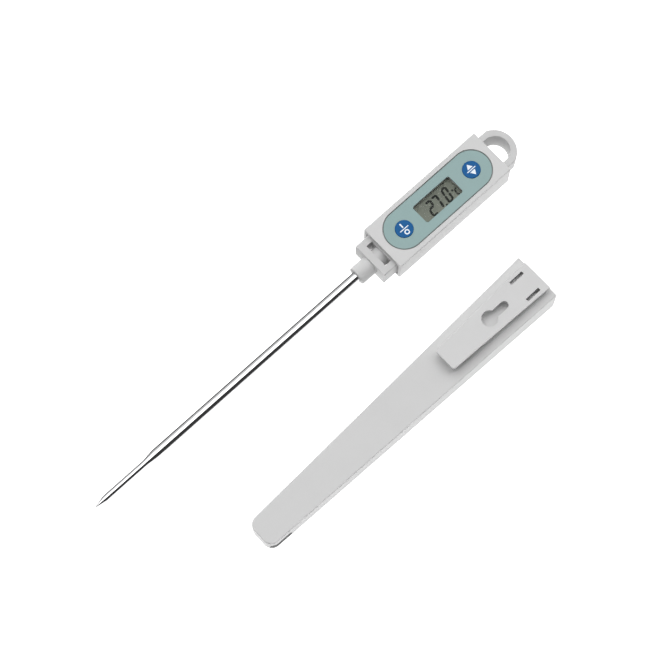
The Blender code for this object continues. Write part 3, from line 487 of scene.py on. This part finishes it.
def finish(
    name,
    colour,
    roughness,
    metallic=0.0,
    alpha=1.0,
    specular=0.25,
    coat=0.0,
    spread=0.03,
    patch=0.008,
    grain=0.0004,
    relief=0.000006,
    rough_spread=0.06,
    stretch=(1, 1, 1),
):
    """A surface whose colour drifts in soft patches, with a fine grain in its gloss and relief."""
    material = bpy.data.materials.new(name)
    material.use_nodes = True
    tree = material.node_tree
    shader = tree.nodes["Principled BSDF"]
    shader.inputs["Metallic"].default_value = metallic
    shader.inputs["Alpha"].default_value = alpha
    shader.inputs["Specular IOR Level"].default_value = specular
    shader.inputs["Coat Weight"].default_value = coat
    place = tree.nodes.new("ShaderNodeTexCoord")
    mapping = tree.nodes.new("ShaderNodeMapping")
    mapping.inputs["Scale"].default_value = stretch
    tree.links.new(place.outputs["Object"], mapping.inputs["Vector"])
    patches = noise(tree, mapping.outputs["Vector"], 1 / patch, 3.0)
    grains = noise(tree, mapping.outputs["Vector"], 1 / grain, 2.0)
    mix = tree.nodes.new("ShaderNodeMix")
    mix.data_type = "RGBA"
    mix.inputs["A"].default_value = (*(c * (1 - spread) for c in colour), 1.0)
    mix.inputs["B"].default_value = (*(min(1.0, c * (1 + spread)) for c in colour), 1.0)
    tree.links.new(patches, mix.inputs["Factor"])
    tree.links.new(mix.outputs["Result"], shader.inputs["Base Color"])
    gloss = tree.nodes.new("ShaderNodeMapRange")
    gloss.inputs["From Min"].default_value = NOISE_LOW
    gloss.inputs["From Max"].default_value = NOISE_HIGH
    gloss.inputs["To Min"].default_value = max(LEAST_ROUGHNESS, roughness - rough_spread)
    gloss.inputs["To Max"].default_value = min(1.0, roughness + rough_spread)
    tree.links.new(grains, gloss.inputs["Value"])
    tree.links.new(gloss.outputs["Result"], shader.inputs["Roughness"])
    bump = tree.nodes.new("ShaderNodeBump")
    bump.inputs["Strength"].default_value = RELIEF_STRENGTH
    bump.inputs["Distance"].default_value = relief
    tree.links.new(grains, bump.inputs["Height"])
    tree.links.new(bump.outputs["Normal"], shader.inputs["Normal"])
    return material


HOUSING_PLASTIC = finish("housing_plastic", (0.62, 0.62, 0.62), 0.48)
NOSE_PLASTIC = finish("nose_plastic", (0.58, 0.58, 0.58), 0.50)
CAP_PLASTIC = finish("cap_plastic", (0.57, 0.57, 0.57), 0.48)
SHEATH_PLASTIC = finish("sheath_plastic", (0.61, 0.61, 0.61), 0.48, patch=0.014)
CLIP_PLASTIC = finish("clip_plastic", (0.62, 0.62, 0.62), 0.48)
STEEL = finish(
    "polished_steel",
    (0.72, 0.72, 0.73),
    0.07,
    metallic=1.0,
    spread=0.02,
    grain=0.0003,
    relief=0.0000004,
    rough_spread=0.03,
    stretch=(0.06, 1, 1),
)
PANEL_FILM = finish(
    "panel_film", linear(143, 169, 168), 0.42, spread=0.035, grain=0.00025, relief=0.000004
)
# Dark grey-green of the ring round the panel film: painted shade that stands in for the shadow in the
# gap between the film and the recess wall
PANEL_GAP_SHADE = finish("painted_gap_shade", linear(106, 116, 114), 0.45, grain=0.00025)
CLEAR = finish(
    "clear_window", (0.06, 0.07, 0.06), 0.06, alpha=0.03, rough_spread=0.02, relief=0.0
)
BLUE = finish("button_blue", linear(26, 92, 150), 0.45, specular=0.1, spread=0.06, patch=0.003)
WHITE_INK = finish("white_ink", linear(236, 243, 250), 0.45, grain=0.0002)
LCD_GLASS = finish(
    "lcd_glass", linear(122, 127, 116), 0.35, specular=0.1, spread=0.05, patch=0.004, relief=0.0000005
)
LCD_INK = finish("lcd_ink", linear(30, 34, 30), 0.45, specular=0.1, relief=0.0000005)

OTHER_FINISHES = {
    "seal_rubber": finish("seal_rubber", (0.03, 0.03, 0.03), 0.62, grain=0.0002),
    "bead_glass": finish("bead_glass", (0.05, 0.045, 0.04), 0.15, coat=0.5, patch=0.001),
    "lead_insulation": finish("lead_insulation", (0.10, 0.10, 0.11), 0.45, patch=0.002),
    "sleeve_plastic": finish("sleeve_plastic", (0.62, 0.60, 0.52), 0.40, patch=0.004),
    "potting_resin": finish("potting_resin", (0.02, 0.02, 0.022), 0.28, grain=0.0008),
    "board_laminate": finish("board_laminate", (0.03, 0.16, 0.07), 0.42, spread=0.12, patch=0.002),
    "frame_plastic": finish("frame_plastic", (0.55, 0.55, 0.54), 0.45),
    "connector_elastomer": finish(
        "connector_elastomer", (0.16, 0.15, 0.15), 0.60, spread=0.5, patch=0.0003
    ),
    "screw_steel": finish(
        "screw_steel", (0.56, 0.56, 0.58), 0.28, metallic=1.0, spread=0.08, patch=0.0006
    ),
    "switch_plastic": finish("switch_plastic", (0.03, 0.03, 0.032), 0.42, patch=0.001),
    "capacitor_ceramic": finish("capacitor_ceramic", (0.42, 0.30, 0.17), 0.36, patch=0.0006),
    "contact_metal": finish(
        "contact_metal", (0.72, 0.68, 0.58), 0.24, metallic=1.0, stretch=(0.2, 1, 1)
    ),
    "cell_steel": finish(
        "cell_steel", (0.66, 0.66, 0.67), 0.20, metallic=1.0, spread=0.05, patch=0.002
    ),
}
FRAME_FINISHES = {
    "housing_plastic": HOUSING_PLASTIC,
    "nose_plastic": NOSE_PLASTIC,
    "cap_plastic": CAP_PLASTIC,
    "sheath_plastic": SHEATH_PLASTIC,
    "clip_plastic": CLIP_PLASTIC,
    "polished_steel": STEEL,
    "panel_film": PANEL_FILM,
    "clear_window": CLEAR,
    "button_blue": BLUE,
    "lcd_glass": LCD_GLASS,
    **OTHER_FINISHES,
}


def paint_frame_nodes():
    """Gives each CAD node the finish of its slot in the record."""
    for row in frame["record"]["subparts"]:
        obj = frame["nodes"][row["node"]]
        for slot in obj.material_slots:
            slot.material = FRAME_FINISHES[row["material_slot"]]


# Housing and front panel


def make_housing():
    half = HOUSING_HALF_WIDTH
    section = arc((half - BACK_EDGE, BACK_EDGE), BACK_EDGE, -90, 0, 10)
    section += arc((half - FACE_EDGE, HOUSING_TOP - FACE_EDGE), FACE_EDGE, 0, 90, 6)
    section += arc((-half + FACE_EDGE, HOUSING_TOP - FACE_EDGE), FACE_EDGE, 90, 180, 6)
    section += arc((-half + BACK_EDGE, BACK_EDGE), BACK_EDGE, 180, 270, 10)
    cavity = rounded_rectangle(
        (-CAVITY_HALF_WIDTH, BACK_WALL), (CAVITY_HALF_WIDTH, CAVITY_TOP), CAVITY_CORNER
    )
    shell = stand_along_x(plate([section, cavity], HOUSING_LOW[0], HOUSING_HIGH[0], END_RIM))
    housing = as_object(shell, "housing_shell")
    recess = stadium(ON_OFF_X, MAX_MIN_X, PANEL_RADIUS + SLIDE_GAP)
    cut(housing, plate([recess], RECESS_FLOOR, HOUSING_TOP + OVERRUN))
    reshape(housing, lambda bm: round_edges(bm, on_recess_rim, RECESS_RIM, 2))
    cut(housing, plate([window_outline()], CAVITY_TOP - OVERRUN, HOUSING_TOP + OVERRUN))
    for x in (ON_OFF_X, MAX_MIN_X):
        hole = peg(x, 0, CAVITY_TOP - OVERRUN, HOUSING_TOP + OVERRUN, BUTTON_RADIUS + BUTTON_HOLE_GAP)
        cut(housing, hole)
    board_low, board_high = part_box("circuit_board")
    for side in (-1, 1):
        inner = side * (CAVITY_HALF_WIDTH - RAIL_REACH)
        outer = side * (CAVITY_HALF_WIDTH + SIDE_WALL / 2)
        low = (board_low[0], min(inner, outer), RAIL_TOP - RAIL_THICKNESS)
        high = (board_high[0], max(inner, outer), RAIL_TOP)
        join(housing, box(low, high))
    dress(housing, HOUSING_PLASTIC, "housing_plastic", "thermometer", "housing")


def on_recess_rim(edge):
    """True for an edge of the panel recess in the housing's face."""
    for vertex in edge.verts:
        if abs(vertex.co.z - HOUSING_TOP) > TINY:
            return False
        x = min(max(vertex.co.x, ON_OFF_X), MAX_MIN_X)
        reach = math.hypot(vertex.co.x - x, vertex.co.y)
        if abs(reach - PANEL_RADIUS - SLIDE_GAP) > TINY:
            return False
    return True


def make_panel():
    openings = [window_outline()]
    openings += [circle((x, 0), FILM_HOLE_RADIUS) for x in (ON_OFF_X, MAX_MIN_X)]
    outer = stadium(ON_OFF_X, MAX_MIN_X, PANEL_RADIUS)
    film = plate([outer] + openings, PANEL_LOW[2], PANEL_HIGH[2], FILM_RIM, rim_steps=1)
    panel = as_object(film, "panel_film")
    dress(panel, PANEL_FILM, "panel_film", "thermometer", "panel_overlay")
    # A thin dark ring on the film's outer edge: painted shade for the shadow in the narrow gap between
    # the film and the recess wall
    inner = stadium(ON_OFF_X, MAX_MIN_X, PANEL_RADIUS - GAP_SHADE_WIDTH)
    top = PANEL_HIGH[2]
    gap_shade_ring = as_object(plate([outer, inner], top - GAP_SHADE_HEIGHT, top + GAP_SHADE_HEIGHT), "panel_gap_shade_ring")
    dress(gap_shade_ring, PANEL_GAP_SHADE, "panel_film", "thermometer")


def make_lens():
    lens = plate([window_outline(SLIDE_GAP)], WINDOW_LOW[2], WINDOW_HIGH[2], LENS_RIM)
    dress(as_object(lens, "window_lens_clear"), CLEAR, "clear_window", "thermometer", "window_lens")


def make_button(node, x, draw_marks):
    low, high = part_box(node)
    flange_top = CAVITY_TOP - BUTTON_FLANGE_GAP
    clear_of_plug = CAP_PLUG_FRONT - SLIDE_GAP - x
    flange_radius = min(high[1], clear_of_plug)
    edge = arc((high[2] - BUTTON_EDGE, BUTTON_CAP_RADIUS - BUTTON_EDGE), BUTTON_EDGE, 0, 90, 5)
    profile = [(high[2], 0)] + edge
    profile += [(flange_top, BUTTON_CAP_RADIUS), (flange_top, flange_radius)]
    profile += [(flange_top - BUTTON_FLANGE, flange_radius)]
    profile += [(flange_top - BUTTON_FLANGE, BUTTON_STEM_RADIUS)]
    profile += [(low[2], BUTTON_STEM_RADIUS), (low[2], 0)]
    button = as_object(turned(profile, BUTTON_SEGMENTS, x), node + "_cap")
    dress(button, BLUE, "button_blue", node, node)
    line = bar((-MARK_LINE_HALF_LENGTH, 0), (MARK_LINE_HALF_LENGTH, 0), MARK_STROKE)
    outlines = [line] + draw_marks()
    marks = bmesh.new()
    for outline in outlines:
        add_flat(marks, outline, high[2] - MARK_HEIGHT, high[2] + MARK_HEIGHT)
    bmesh.ops.translate(marks, verts=marks.verts, vec=(x, 0, 0))
    dress(as_object(marks, node + "_marks"), WHITE_INK, "button_blue", node)


def bar(start, end, stroke):
    """The outline of a straight stroke between two points."""
    along = (Vector(end) - Vector(start)).normalized() * stroke / 2
    across = Vector((-along.y, along.x))
    start = Vector(start)
    end = Vector(end)
    return [[start - across, end - across, end + across, start + across]]


def power_marks():
    """An upright bar above the line and a ring below it."""
    radii = (POWER_RING_OUTER, POWER_RING_INNER)
    ring = [circle((0, POWER_RING_Y), radius, MARK_SEGMENTS) for radius in radii]
    return [bar((0, POWER_BAR_START), (0, POWER_BAR_END), POWER_BAR_STROKE), ring]


def extreme_marks():
    """A triangle that points up above the line and one that points down below it."""
    triangles = []
    for side in (-1, 1):
        base = side * TRIANGLE_BASE
        left = (-TRIANGLE_HALF_WIDTH, base)
        right = (TRIANGLE_HALF_WIDTH, base)
        triangles.append([[left, right, (0, side * TRIANGLE_POINT)]])
    return triangles


def add_flat(bm, outlines, bottom, top):
    """Adds a thin plate to a mesh."""
    mesh = bpy.data.meshes.new("flat")
    part = plate([[tuple(point) for point in outline] for outline in outlines], bottom, top)
    bmesh.ops.recalc_face_normals(part, faces=part.faces)
    part.to_mesh(mesh)
    part.free()
    bm.from_mesh(mesh)
    bpy.data.meshes.remove(mesh)


# Display reading


SEGMENTS = {
    "a": ((0, DIGIT_TOP), (1, DIGIT_TOP)),
    "b": ((1, DIGIT_TOP), (1, DIGIT_MIDDLE)),
    "c": ((1, DIGIT_MIDDLE), (1, DIGIT_BOTTOM)),
    "d": ((0, DIGIT_BOTTOM), (1, DIGIT_BOTTOM)),
    "e": ((0, DIGIT_MIDDLE), (0, DIGIT_BOTTOM)),
    "f": ((0, DIGIT_TOP), (0, DIGIT_MIDDLE)),
    "g": ((0, DIGIT_MIDDLE), (1, DIGIT_MIDDLE)),
}
# Each figure: its left edge and width at y = 0, and its lit segments
FIGURES = (
    (-0.00505, 0.00250, "abged"),
    (-0.00160, 0.00245, "abc"),
    (0.00404, 0.00216, "abcdef"),
)
POINT_PLACE = (0.00184, -0.00387)
DEGREE_PLACE = (0.00787, -0.00073)
UNIT_LEFT = 0.00900
UNIT_WIDTH = 0.00125
UNIT_TOP = -0.00095
UNIT_BOTTOM = -0.00370


def segment(start, end, stroke):
    """The outline of a display segment: a bar with pointed ends, a small gap inside its ends."""
    start = Vector(start)
    end = Vector(end)
    along = (end - start).normalized()
    across = Vector((-along.y, along.x)) * stroke / 2
    start = start + along * SEGMENT_GAP
    end = end - along * SEGMENT_GAP
    point = along * stroke / 2
    return [
        [start, start + point - across, end - point - across, end, end - point + across,
         start + point + across]
    ]


def slanted(outlines):
    return [[(x + DIGIT_SLANT * y, y) for x, y in outline] for outline in outlines]


def make_reading():
    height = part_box("lcd_panel")[1][2]
    shapes = []
    for left, width, lit in FIGURES:
        for letter in lit:
            ends = [(left + width * across, y) for across, y in SEGMENTS[letter]]
            shapes.append(slanted(segment(*ends, DIGIT_STROKE)))
    unit = ((UNIT_LEFT + UNIT_WIDTH, UNIT_TOP), (UNIT_LEFT, UNIT_TOP))
    unit += ((UNIT_LEFT, UNIT_BOTTOM), (UNIT_LEFT + UNIT_WIDTH, UNIT_BOTTOM))
    for ends in zip(unit, unit[1:]):
        shapes.append(slanted(segment(*ends, SMALL_STROKE)))
    shapes.append([circle(POINT_PLACE, DIGIT_STROKE / 2, DOT_SEGMENTS)])
    shapes.append([circle(DEGREE_PLACE, DIGIT_STROKE / 2, DOT_SEGMENTS)])
    reading = bmesh.new()
    for outlines in shapes:
        add_flat(reading, outlines, height, height + INK_HEIGHT)
    dress(as_object(reading, "display_reading"), LCD_INK, "lcd_glass", "thermometer")


# Nose and probe


def plug_shape(start, end):
    """A block that fits the housing's cavity."""
    outline = rounded_rectangle(
        (-CAVITY_HALF_WIDTH + PLUG_CLEARANCE, BACK_WALL + PLUG_CLEARANCE),
        (CAVITY_HALF_WIDTH - PLUG_CLEARANCE, CAVITY_TOP - PLUG_CLEARANCE),
        CAVITY_CORNER,
    )
    return stand_along_x(plate([outline], start, end, PLUG_RIM))


def groove_ring(x):
    """A ring that cuts a seal groove round a plug."""
    outlines = []
    for inset in (-2 * OVERRUN, PLUG_CLEARANCE + GROOVE_DEPTH):
        low = (-CAVITY_HALF_WIDTH + inset, BACK_WALL + inset)
        high = (CAVITY_HALF_WIDTH - inset, CAVITY_TOP - inset)
        outlines.append(rounded_rectangle(low, high, GROOVE_CORNER))
    return stand_along_x(plate(outlines, x - GROOVE_HALF_WIDTH, x + GROOVE_HALF_WIDTH))


def make_probe_holder():
    block = box(
        (BLOCK_START, -BLOCK_HALF_WIDTH, BLOCK_BOTTOM),
        (PLUG_START + OVERRUN, BLOCK_HALF_WIDTH, BLOCK_TOP),
    )
    round_edges(block, lambda e: runs_along(e, 0), BLOCK_EDGE, 5)
    round_edges(block, lambda e: middle(e).x < BLOCK_START + TINY, BLOCK_FRONT_EDGE, 3)
    holder = as_object(block, "probe_nose")
    low = (NOSE_WINDOW_START, -NOSE_WINDOW_HALF_WIDTH, 0)
    high = (NOSE_WINDOW_END, NOSE_WINDOW_HALF_WIDTH, HOUSING_TOP)
    cut(holder, box(low, high))
    edge = arc((COLLAR_START + COLLAR_EDGE, COLLAR_RADIUS - COLLAR_EDGE), COLLAR_EDGE, 180, 90, 5)
    rear = BLOCK_START + OVERRUN
    collar = [(COLLAR_START, 0)] + edge + [(rear, COLLAR_RADIUS), (rear, 0)]
    join(holder, turned(collar, NOSE_SEGMENTS))
    neck = rod(NOSE_WINDOW_START - OVERRUN, NOSE_WINDOW_END + OVERRUN, NECK_RADIUS, NOSE_SEGMENTS)
    join(holder, neck)
    join(holder, plug_shape(PLUG_START, PLUG_END))
    cut(holder, groove_ring((PLUG_START + PLUG_END) / 2))
    cut(holder, rod(COLLAR_START - OVERRUN, PROBE_REAR + PROBE_END_GAP, PROBE_BORE_RADIUS))
    cut(holder, rod(PROBE_REAR - OVERRUN, PLUG_END + OVERRUN, WIRE_BORE_RADIUS))
    dress(holder, NOSE_PLASTIC, "nose_plastic", "thermometer", "probe_holder")


def make_probe():
    bore = PROBE_RADIUS - PROBE_WALL
    thin_bore = PROBE_TIP_RADIUS - PROBE_WALL
    slope = math.degrees(math.atan(PROBE_TIP_RADIUS / POINT_LENGTH))
    point = arc((PROBE_TIP + POINT_RADIUS, 0), POINT_RADIUS, 180, 90 + slope, 6)
    profile = [
        (BORE_START, 0),
        (BORE_START, thin_bore),
        (THIN_END, thin_bore),
        (TAPER_END, bore),
        (PROBE_REAR, bore),
        (PROBE_REAR, PROBE_RADIUS),
        (TAPER_END, PROBE_RADIUS),
        (THIN_END, PROBE_TIP_RADIUS),
        (PROBE_TIP + POINT_LENGTH, PROBE_TIP_RADIUS),
    ]
    profile += reversed(point)
    profile[-1] = (PROBE_TIP, 0)
    probe = as_object(turned(profile, NOSE_SEGMENTS), "probe_steel")
    dress(probe, STEEL, "polished_steel", "thermometer", "probe_tube")


# Battery cap


def loop_outline():
    """An arch seen from above: two straight legs joined by an arc, with a D-shaped eye."""
    spread = math.degrees(math.asin(LOOP_HALF_WIDTH / LOOP_OUTER_RADIUS))
    foot = CAP_PLUG_REAR - OVERRUN
    outline = [(foot, -LOOP_HALF_WIDTH)]
    outline += arc((LOOP_ARC_X, 0), LOOP_OUTER_RADIUS, -spread, spread, LOOP_STEPS)
    outline += [(foot, LOOP_HALF_WIDTH), (foot, EYE_RADIUS)]
    outline += arc((EYE_ARC_X, 0), EYE_RADIUS, 90, -90, LOOP_STEPS)
    outline.append((foot, -EYE_RADIUS))
    return outline


def on_loop_outside(edge, height):
    """True for an edge of the loop's outer side, at that height."""
    if any(abs(v.co.z - height) > TINY for v in edge.verts):
        return False
    point = middle(edge)
    on_side = abs(point.y) > LOOP_HALF_WIDTH - TINY
    on_arc = math.hypot(point.x - LOOP_ARC_X, point.y) > LOOP_OUTER_RADIUS - ARC_SAG
    return on_side or on_arc


def on_loop_face(edge):
    """True for an edge round the loop's front face, its foot left out."""
    level = all(abs(v.co.z - LOOP_TOP) < TINY for v in edge.verts)
    return level and middle(edge).x > CAP_PLUG_REAR - OVERRUN + TINY


def make_battery_cap():
    arch = plate([loop_outline()], LOOP_BOTTOM, LOOP_TOP)
    round_edges(arch, lambda e: on_loop_outside(e, LOOP_BOTTOM), LOOP_BACK_EDGE, 6)
    round_edges(arch, on_loop_face, LOOP_FACE_EDGE, 3)
    cap = as_object(arch, "hanging_loop")
    join(cap, plug_shape(CAP_PLUG_FRONT, CAP_PLUG_REAR))
    cut(cap, groove_ring(CAP_SEAL_X))
    for side in (-1, 1):
        x = HOUSING_HIGH[0] + LOOP_NOTCH_RADIUS
        y = side * (LOOP_HALF_WIDTH - LOOP_NOTCH_RADIUS - LOOP_NOTCH_WALL)
        cut(cap, peg(x, y, LOOP_TOP - LOOP_NOTCH_DEPTH, HOUSING_TOP, LOOP_NOTCH_RADIUS, DOT_SEGMENTS))
    dress(cap, CAP_PLASTIC, "cap_plastic", "battery_cap", "battery_cap")


# Sheath and clip


def taper(low_x, high_x, low_size, high_size):
    """A wedge along X, from (width, bottom, top) at one end to the same at the other."""
    bm = box((-1, -1, -1), (1, 1, 1))
    for vertex in bm.verts:
        width, bottom, top = high_size if vertex.co.x > 0 else low_size
        x = high_x if vertex.co.x > 0 else low_x
        z = top if vertex.co.z > 0 else bottom
        vertex.co = (x, vertex.co.y * width / 2, z)
    return bm


def upright_at(edge, x):
    return runs_along(edge, 2) and abs(middle(edge).x - x) < TINY


def make_sheath():
    tip = -SHEATH_LENGTH
    outer = taper(tip, 0, (SHEATH_TIP[0], 0, SHEATH_TIP[1]), (SHEATH_MOUTH[0], 0, SHEATH_MOUTH[1]))
    round_edges(outer, lambda e: upright_at(e, tip), SHEATH_TIP_CORNER, 12)
    round_edges(
        outer, lambda e: middle(e).z < TINY and middle(e).x < -TINY, SHEATH_LOWER_EDGE, 6
    )
    round_edges(
        outer,
        lambda e: min(v.co.z for v in e.verts) > SHEATH_TIP[1] - TINY and middle(e).x < -TINY,
        SHEATH_UPPER_EDGE,
        4,
    )
    sheath = as_object(outer, "sheath_tube")
    inner_tip = tip + SHEATH_TIP_WALL
    inner = taper(
        inner_tip,
        OVERRUN,
        (SHEATH_TIP[0] - 2 * SHEATH_WALL, SHEATH_WALL, SHEATH_TIP[1] - SHEATH_WALL),
        (SHEATH_MOUTH[0] - 2 * SHEATH_WALL, SHEATH_WALL, SHEATH_MOUTH[1] - SHEATH_WALL),
    )
    round_edges(inner, lambda e: upright_at(e, inner_tip), SHEATH_TIP_CORNER - SHEATH_WALL, 8)
    cut(sheath, inner)
    reshape(
        sheath,
        lambda bm: round_edges(bm, lambda e: all(v.co.x > -TINY for v in e.verts), MOUTH_RIM, 3),
    )
    drain_inner = -(SHEATH_TIP[0] / 2 - SHEATH_WALL - DRAIN_REACH)
    low = (tip - OVERRUN, -SHEATH_TIP[0], DRAIN_BOTTOM)
    drain = box(low, (DRAIN_REAR_AT_BOTTOM, drain_inner, DRAIN_TOP))
    for vertex in drain.verts:
        if vertex.co.x > tip and vertex.co.z > DRAIN_BOTTOM:
            vertex.co.x = DRAIN_REAR_AT_TOP
    cut(sheath, drain)
    sheath.data.transform(SHEATH_PLACE)
    dress(sheath, SHEATH_PLASTIC, "sheath_plastic", "sheath", "sheath")


def sheath_top_at(x):
    return SHEATH_MOUTH[1] + (SHEATH_MOUTH[1] - SHEATH_TIP[1]) / SHEATH_LENGTH * x


def make_clip():
    half_rear = CLIP_REAR_WIDTH / 2
    side = CLIP_FRONT_WIDTH / 2 - CLIP_CORNER
    nose = CLIP_FRONT + CLIP_CORNER
    outline = [(CLIP_REAR, -half_rear), (CLIP_REAR, half_rear)]
    outline += arc((nose, side), CLIP_CORNER, 90, 180, 10)
    outline += arc((nose, -side), CLIP_CORNER, 180, 270, 10)
    half_angle = math.degrees(math.asin(KEYHOLE_SLOT_RADIUS / KEYHOLE_RADIUS))
    keyhole = arc((KEYHOLE_X, 0), KEYHOLE_RADIUS, half_angle, 360 - half_angle, KEYHOLE_STEPS)
    keyhole += arc((KEYHOLE_SLOT_X, 0), KEYHOLE_SLOT_RADIUS, -90, 90, KEYHOLE_STEPS // 2)
    bottom = CLIP_TOP - CLIP_THICKNESS
    clip = as_object(plate([outline, keyhole], bottom, CLIP_TOP, CLIP_EDGE), "pocket_clip_plate")
    inside_plate = CLIP_TOP - CLIP_THICKNESS / 2
    foot = taper(
        FOOT_FRONT,
        CLIP_REAR - CLIP_EDGE,
        (2 * FOOT_HALF_WIDTH, sheath_top_at(FOOT_FRONT) + CLIP_GAP, inside_plate),
        (2 * FOOT_HALF_WIDTH, sheath_top_at(CLIP_REAR) + CLIP_GAP, inside_plate),
    )
    join(clip, foot)
    for sign in (-1, 1):
        centre = sign * SLOT_Y
        low = (SLOT_START, centre - SLOT_WIDTH / 2, SHEATH_TIP[1])
        high = (SLOT_END, centre + SLOT_WIDTH / 2, CLIP_TOP + OVERRUN)
        cut(clip, box(low, high))
    clip.data.transform(SHEATH_PLACE)
    dress(clip, CLIP_PLASTIC, "clip_plastic", "pocket_clip", "pocket_clip")


# Studio


def make_floor():
    bm = bmesh.new()
    bmesh.ops.create_grid(bm, x_segments=2, y_segments=2, size=FLOOR_SIZE)
    floor = as_object(bm, "studio_floor")
    floor.location.z = -TINY
    material = bpy.data.materials.new("studio_floor")
    material.use_nodes = True
    shader = material.node_tree.nodes["Principled BSDF"]
    shader.inputs["Base Color"].default_value = (FLOOR_COLOUR, FLOOR_COLOUR, FLOOR_COLOUR, 1)
    shader.inputs["Roughness"].default_value = 1.0
    shader.inputs["Specular IOR Level"].default_value = 0.0
    shader.inputs["Emission Color"].default_value = (1, 1, 1, 1)
    shader.inputs["Emission Strength"].default_value = FLOOR_GLOW
    floor.data.materials.append(material)


def make_sky():
    world = bpy.data.worlds.new("studio_sky")
    bpy.context.scene.world = world
    world.use_nodes = True
    tree = world.node_tree
    background = tree.nodes["Background"]
    background.inputs["Color"].default_value = (1, 1, 1, 1)
    place = tree.nodes.new("ShaderNodeTexCoord")
    towards = tree.nodes.new("ShaderNodeVectorMath")
    towards.operation = "DOT_PRODUCT"
    towards.inputs[1].default_value = SKY_TOWARDS
    tree.links.new(place.outputs["Generated"], towards.inputs[0])
    level = tree.nodes.new("ShaderNodeMapRange")
    level.interpolation_type = "SMOOTHSTEP"
    level.inputs["From Min"].default_value = -SKY_EDGE
    level.inputs["From Max"].default_value = SKY_EDGE
    level.inputs["To Min"].default_value = SKY_DIM
    tree.links.new(towards.outputs["Value"], level.inputs["Value"])
    height = tree.nodes.new("ShaderNodeSeparateXYZ")
    tree.links.new(place.outputs["Generated"], height.inputs["Vector"])
    bright = tree.nodes.new("ShaderNodeMapRange")
    bright.interpolation_type = "SMOOTHSTEP"
    bright.inputs["From Min"].default_value = SKY_LOW_END
    bright.inputs["From Max"].default_value = SKY_HIGH_START
    bright.inputs["To Min"].default_value = SKY_LOW
    bright.inputs["To Max"].default_value = SKY_HIGH
    tree.links.new(height.outputs["Z"], bright.inputs["Value"])
    tree.links.new(bright.outputs["Result"], level.inputs["To Max"])
    tree.links.new(level.outputs["Result"], background.inputs["Strength"])


def make_fill():
    """A low wide softbox on the sheath's side: it lights upright walls and hardly any tops."""
    light = bpy.data.lights.new("low_fill", "AREA")
    light.shape = "RECTANGLE"
    light.size = FILL_LENGTH
    light.size_y = FILL_HEIGHT
    light.energy = FILL_RADIANCE * math.pi * FILL_LENGTH * FILL_HEIGHT
    fill = bpy.data.objects.new("low_fill", light)
    bpy.context.scene.collection.objects.link(fill)
    fill.location = (CAMERA_TARGET.x, -FILL_DISTANCE, FILL_HEIGHT / 2 + TINY)
    fill.rotation_euler = (math.radians(90), 0, 0)
    fill.visible_glossy = False
    fill.visible_camera = False


def make_flag():
    """A dark strip on the floor beside the probe, seen only in reflections: it edges the steel."""
    bm = bmesh.new()
    bmesh.ops.create_grid(bm, x_segments=1, y_segments=1, size=0.5)
    scale = (FLAG_LENGTH, FLAG_END - FLAG_START, 1)
    bmesh.ops.scale(bm, verts=bm.verts, vec=scale)
    bmesh.ops.translate(bm, verts=bm.verts, vec=(FLAG_X, (FLAG_START + FLAG_END) / 2, TINY))
    flag = as_object(bm, "studio_flag")
    material = bpy.data.materials.new("studio_flag")
    material.use_nodes = True
    shader = material.node_tree.nodes["Principled BSDF"]
    shader.inputs["Base Color"].default_value = (FLAG_COLOUR, FLAG_COLOUR, FLAG_COLOUR, 1)
    shader.inputs["Roughness"].default_value = 1.0
    flag.data.materials.append(material)
    flag.visible_camera = False
    flag.visible_diffuse = False
    flag.visible_shadow = False


def make_camera():
    data = bpy.data.cameras.new("camera")
    data.lens = CAMERA_LENS
    data.sensor_width = CAMERA_SENSOR
    data.clip_start = CAMERA_NEAR
    data.clip_end = CAMERA_FAR
    camera = bpy.data.objects.new("camera", data)
    bpy.context.scene.collection.objects.link(camera)
    flat = math.cos(CAMERA_ELEVATION)
    back = Vector(
        (math.sin(CAMERA_AZIMUTH) * flat, -math.cos(CAMERA_AZIMUTH) * flat, math.sin(CAMERA_ELEVATION))
    )
    right = Vector((math.cos(CAMERA_AZIMUTH), math.sin(CAMERA_AZIMUTH), 0))
    up = back.cross(right)
    turn = Matrix((right, up, back)).transposed().to_4x4()
    camera.matrix_world = Matrix.Translation(CAMERA_TARGET + back * CAMERA_DISTANCE) @ turn
    bpy.context.scene.camera = camera


paint_frame_nodes()
make_housing()
make_panel()
make_lens()
make_button("on_off_button", ON_OFF_X, power_marks)
make_button("max_min_button", MAX_MIN_X, extreme_marks)
make_reading()
make_probe_holder()
make_probe()
make_battery_cap()
make_sheath()
make_clip()
make_floor()
make_sky()
make_fill()
make_flag()
make_camera()
bpy.context.scene.view_settings.view_transform = "Standard"
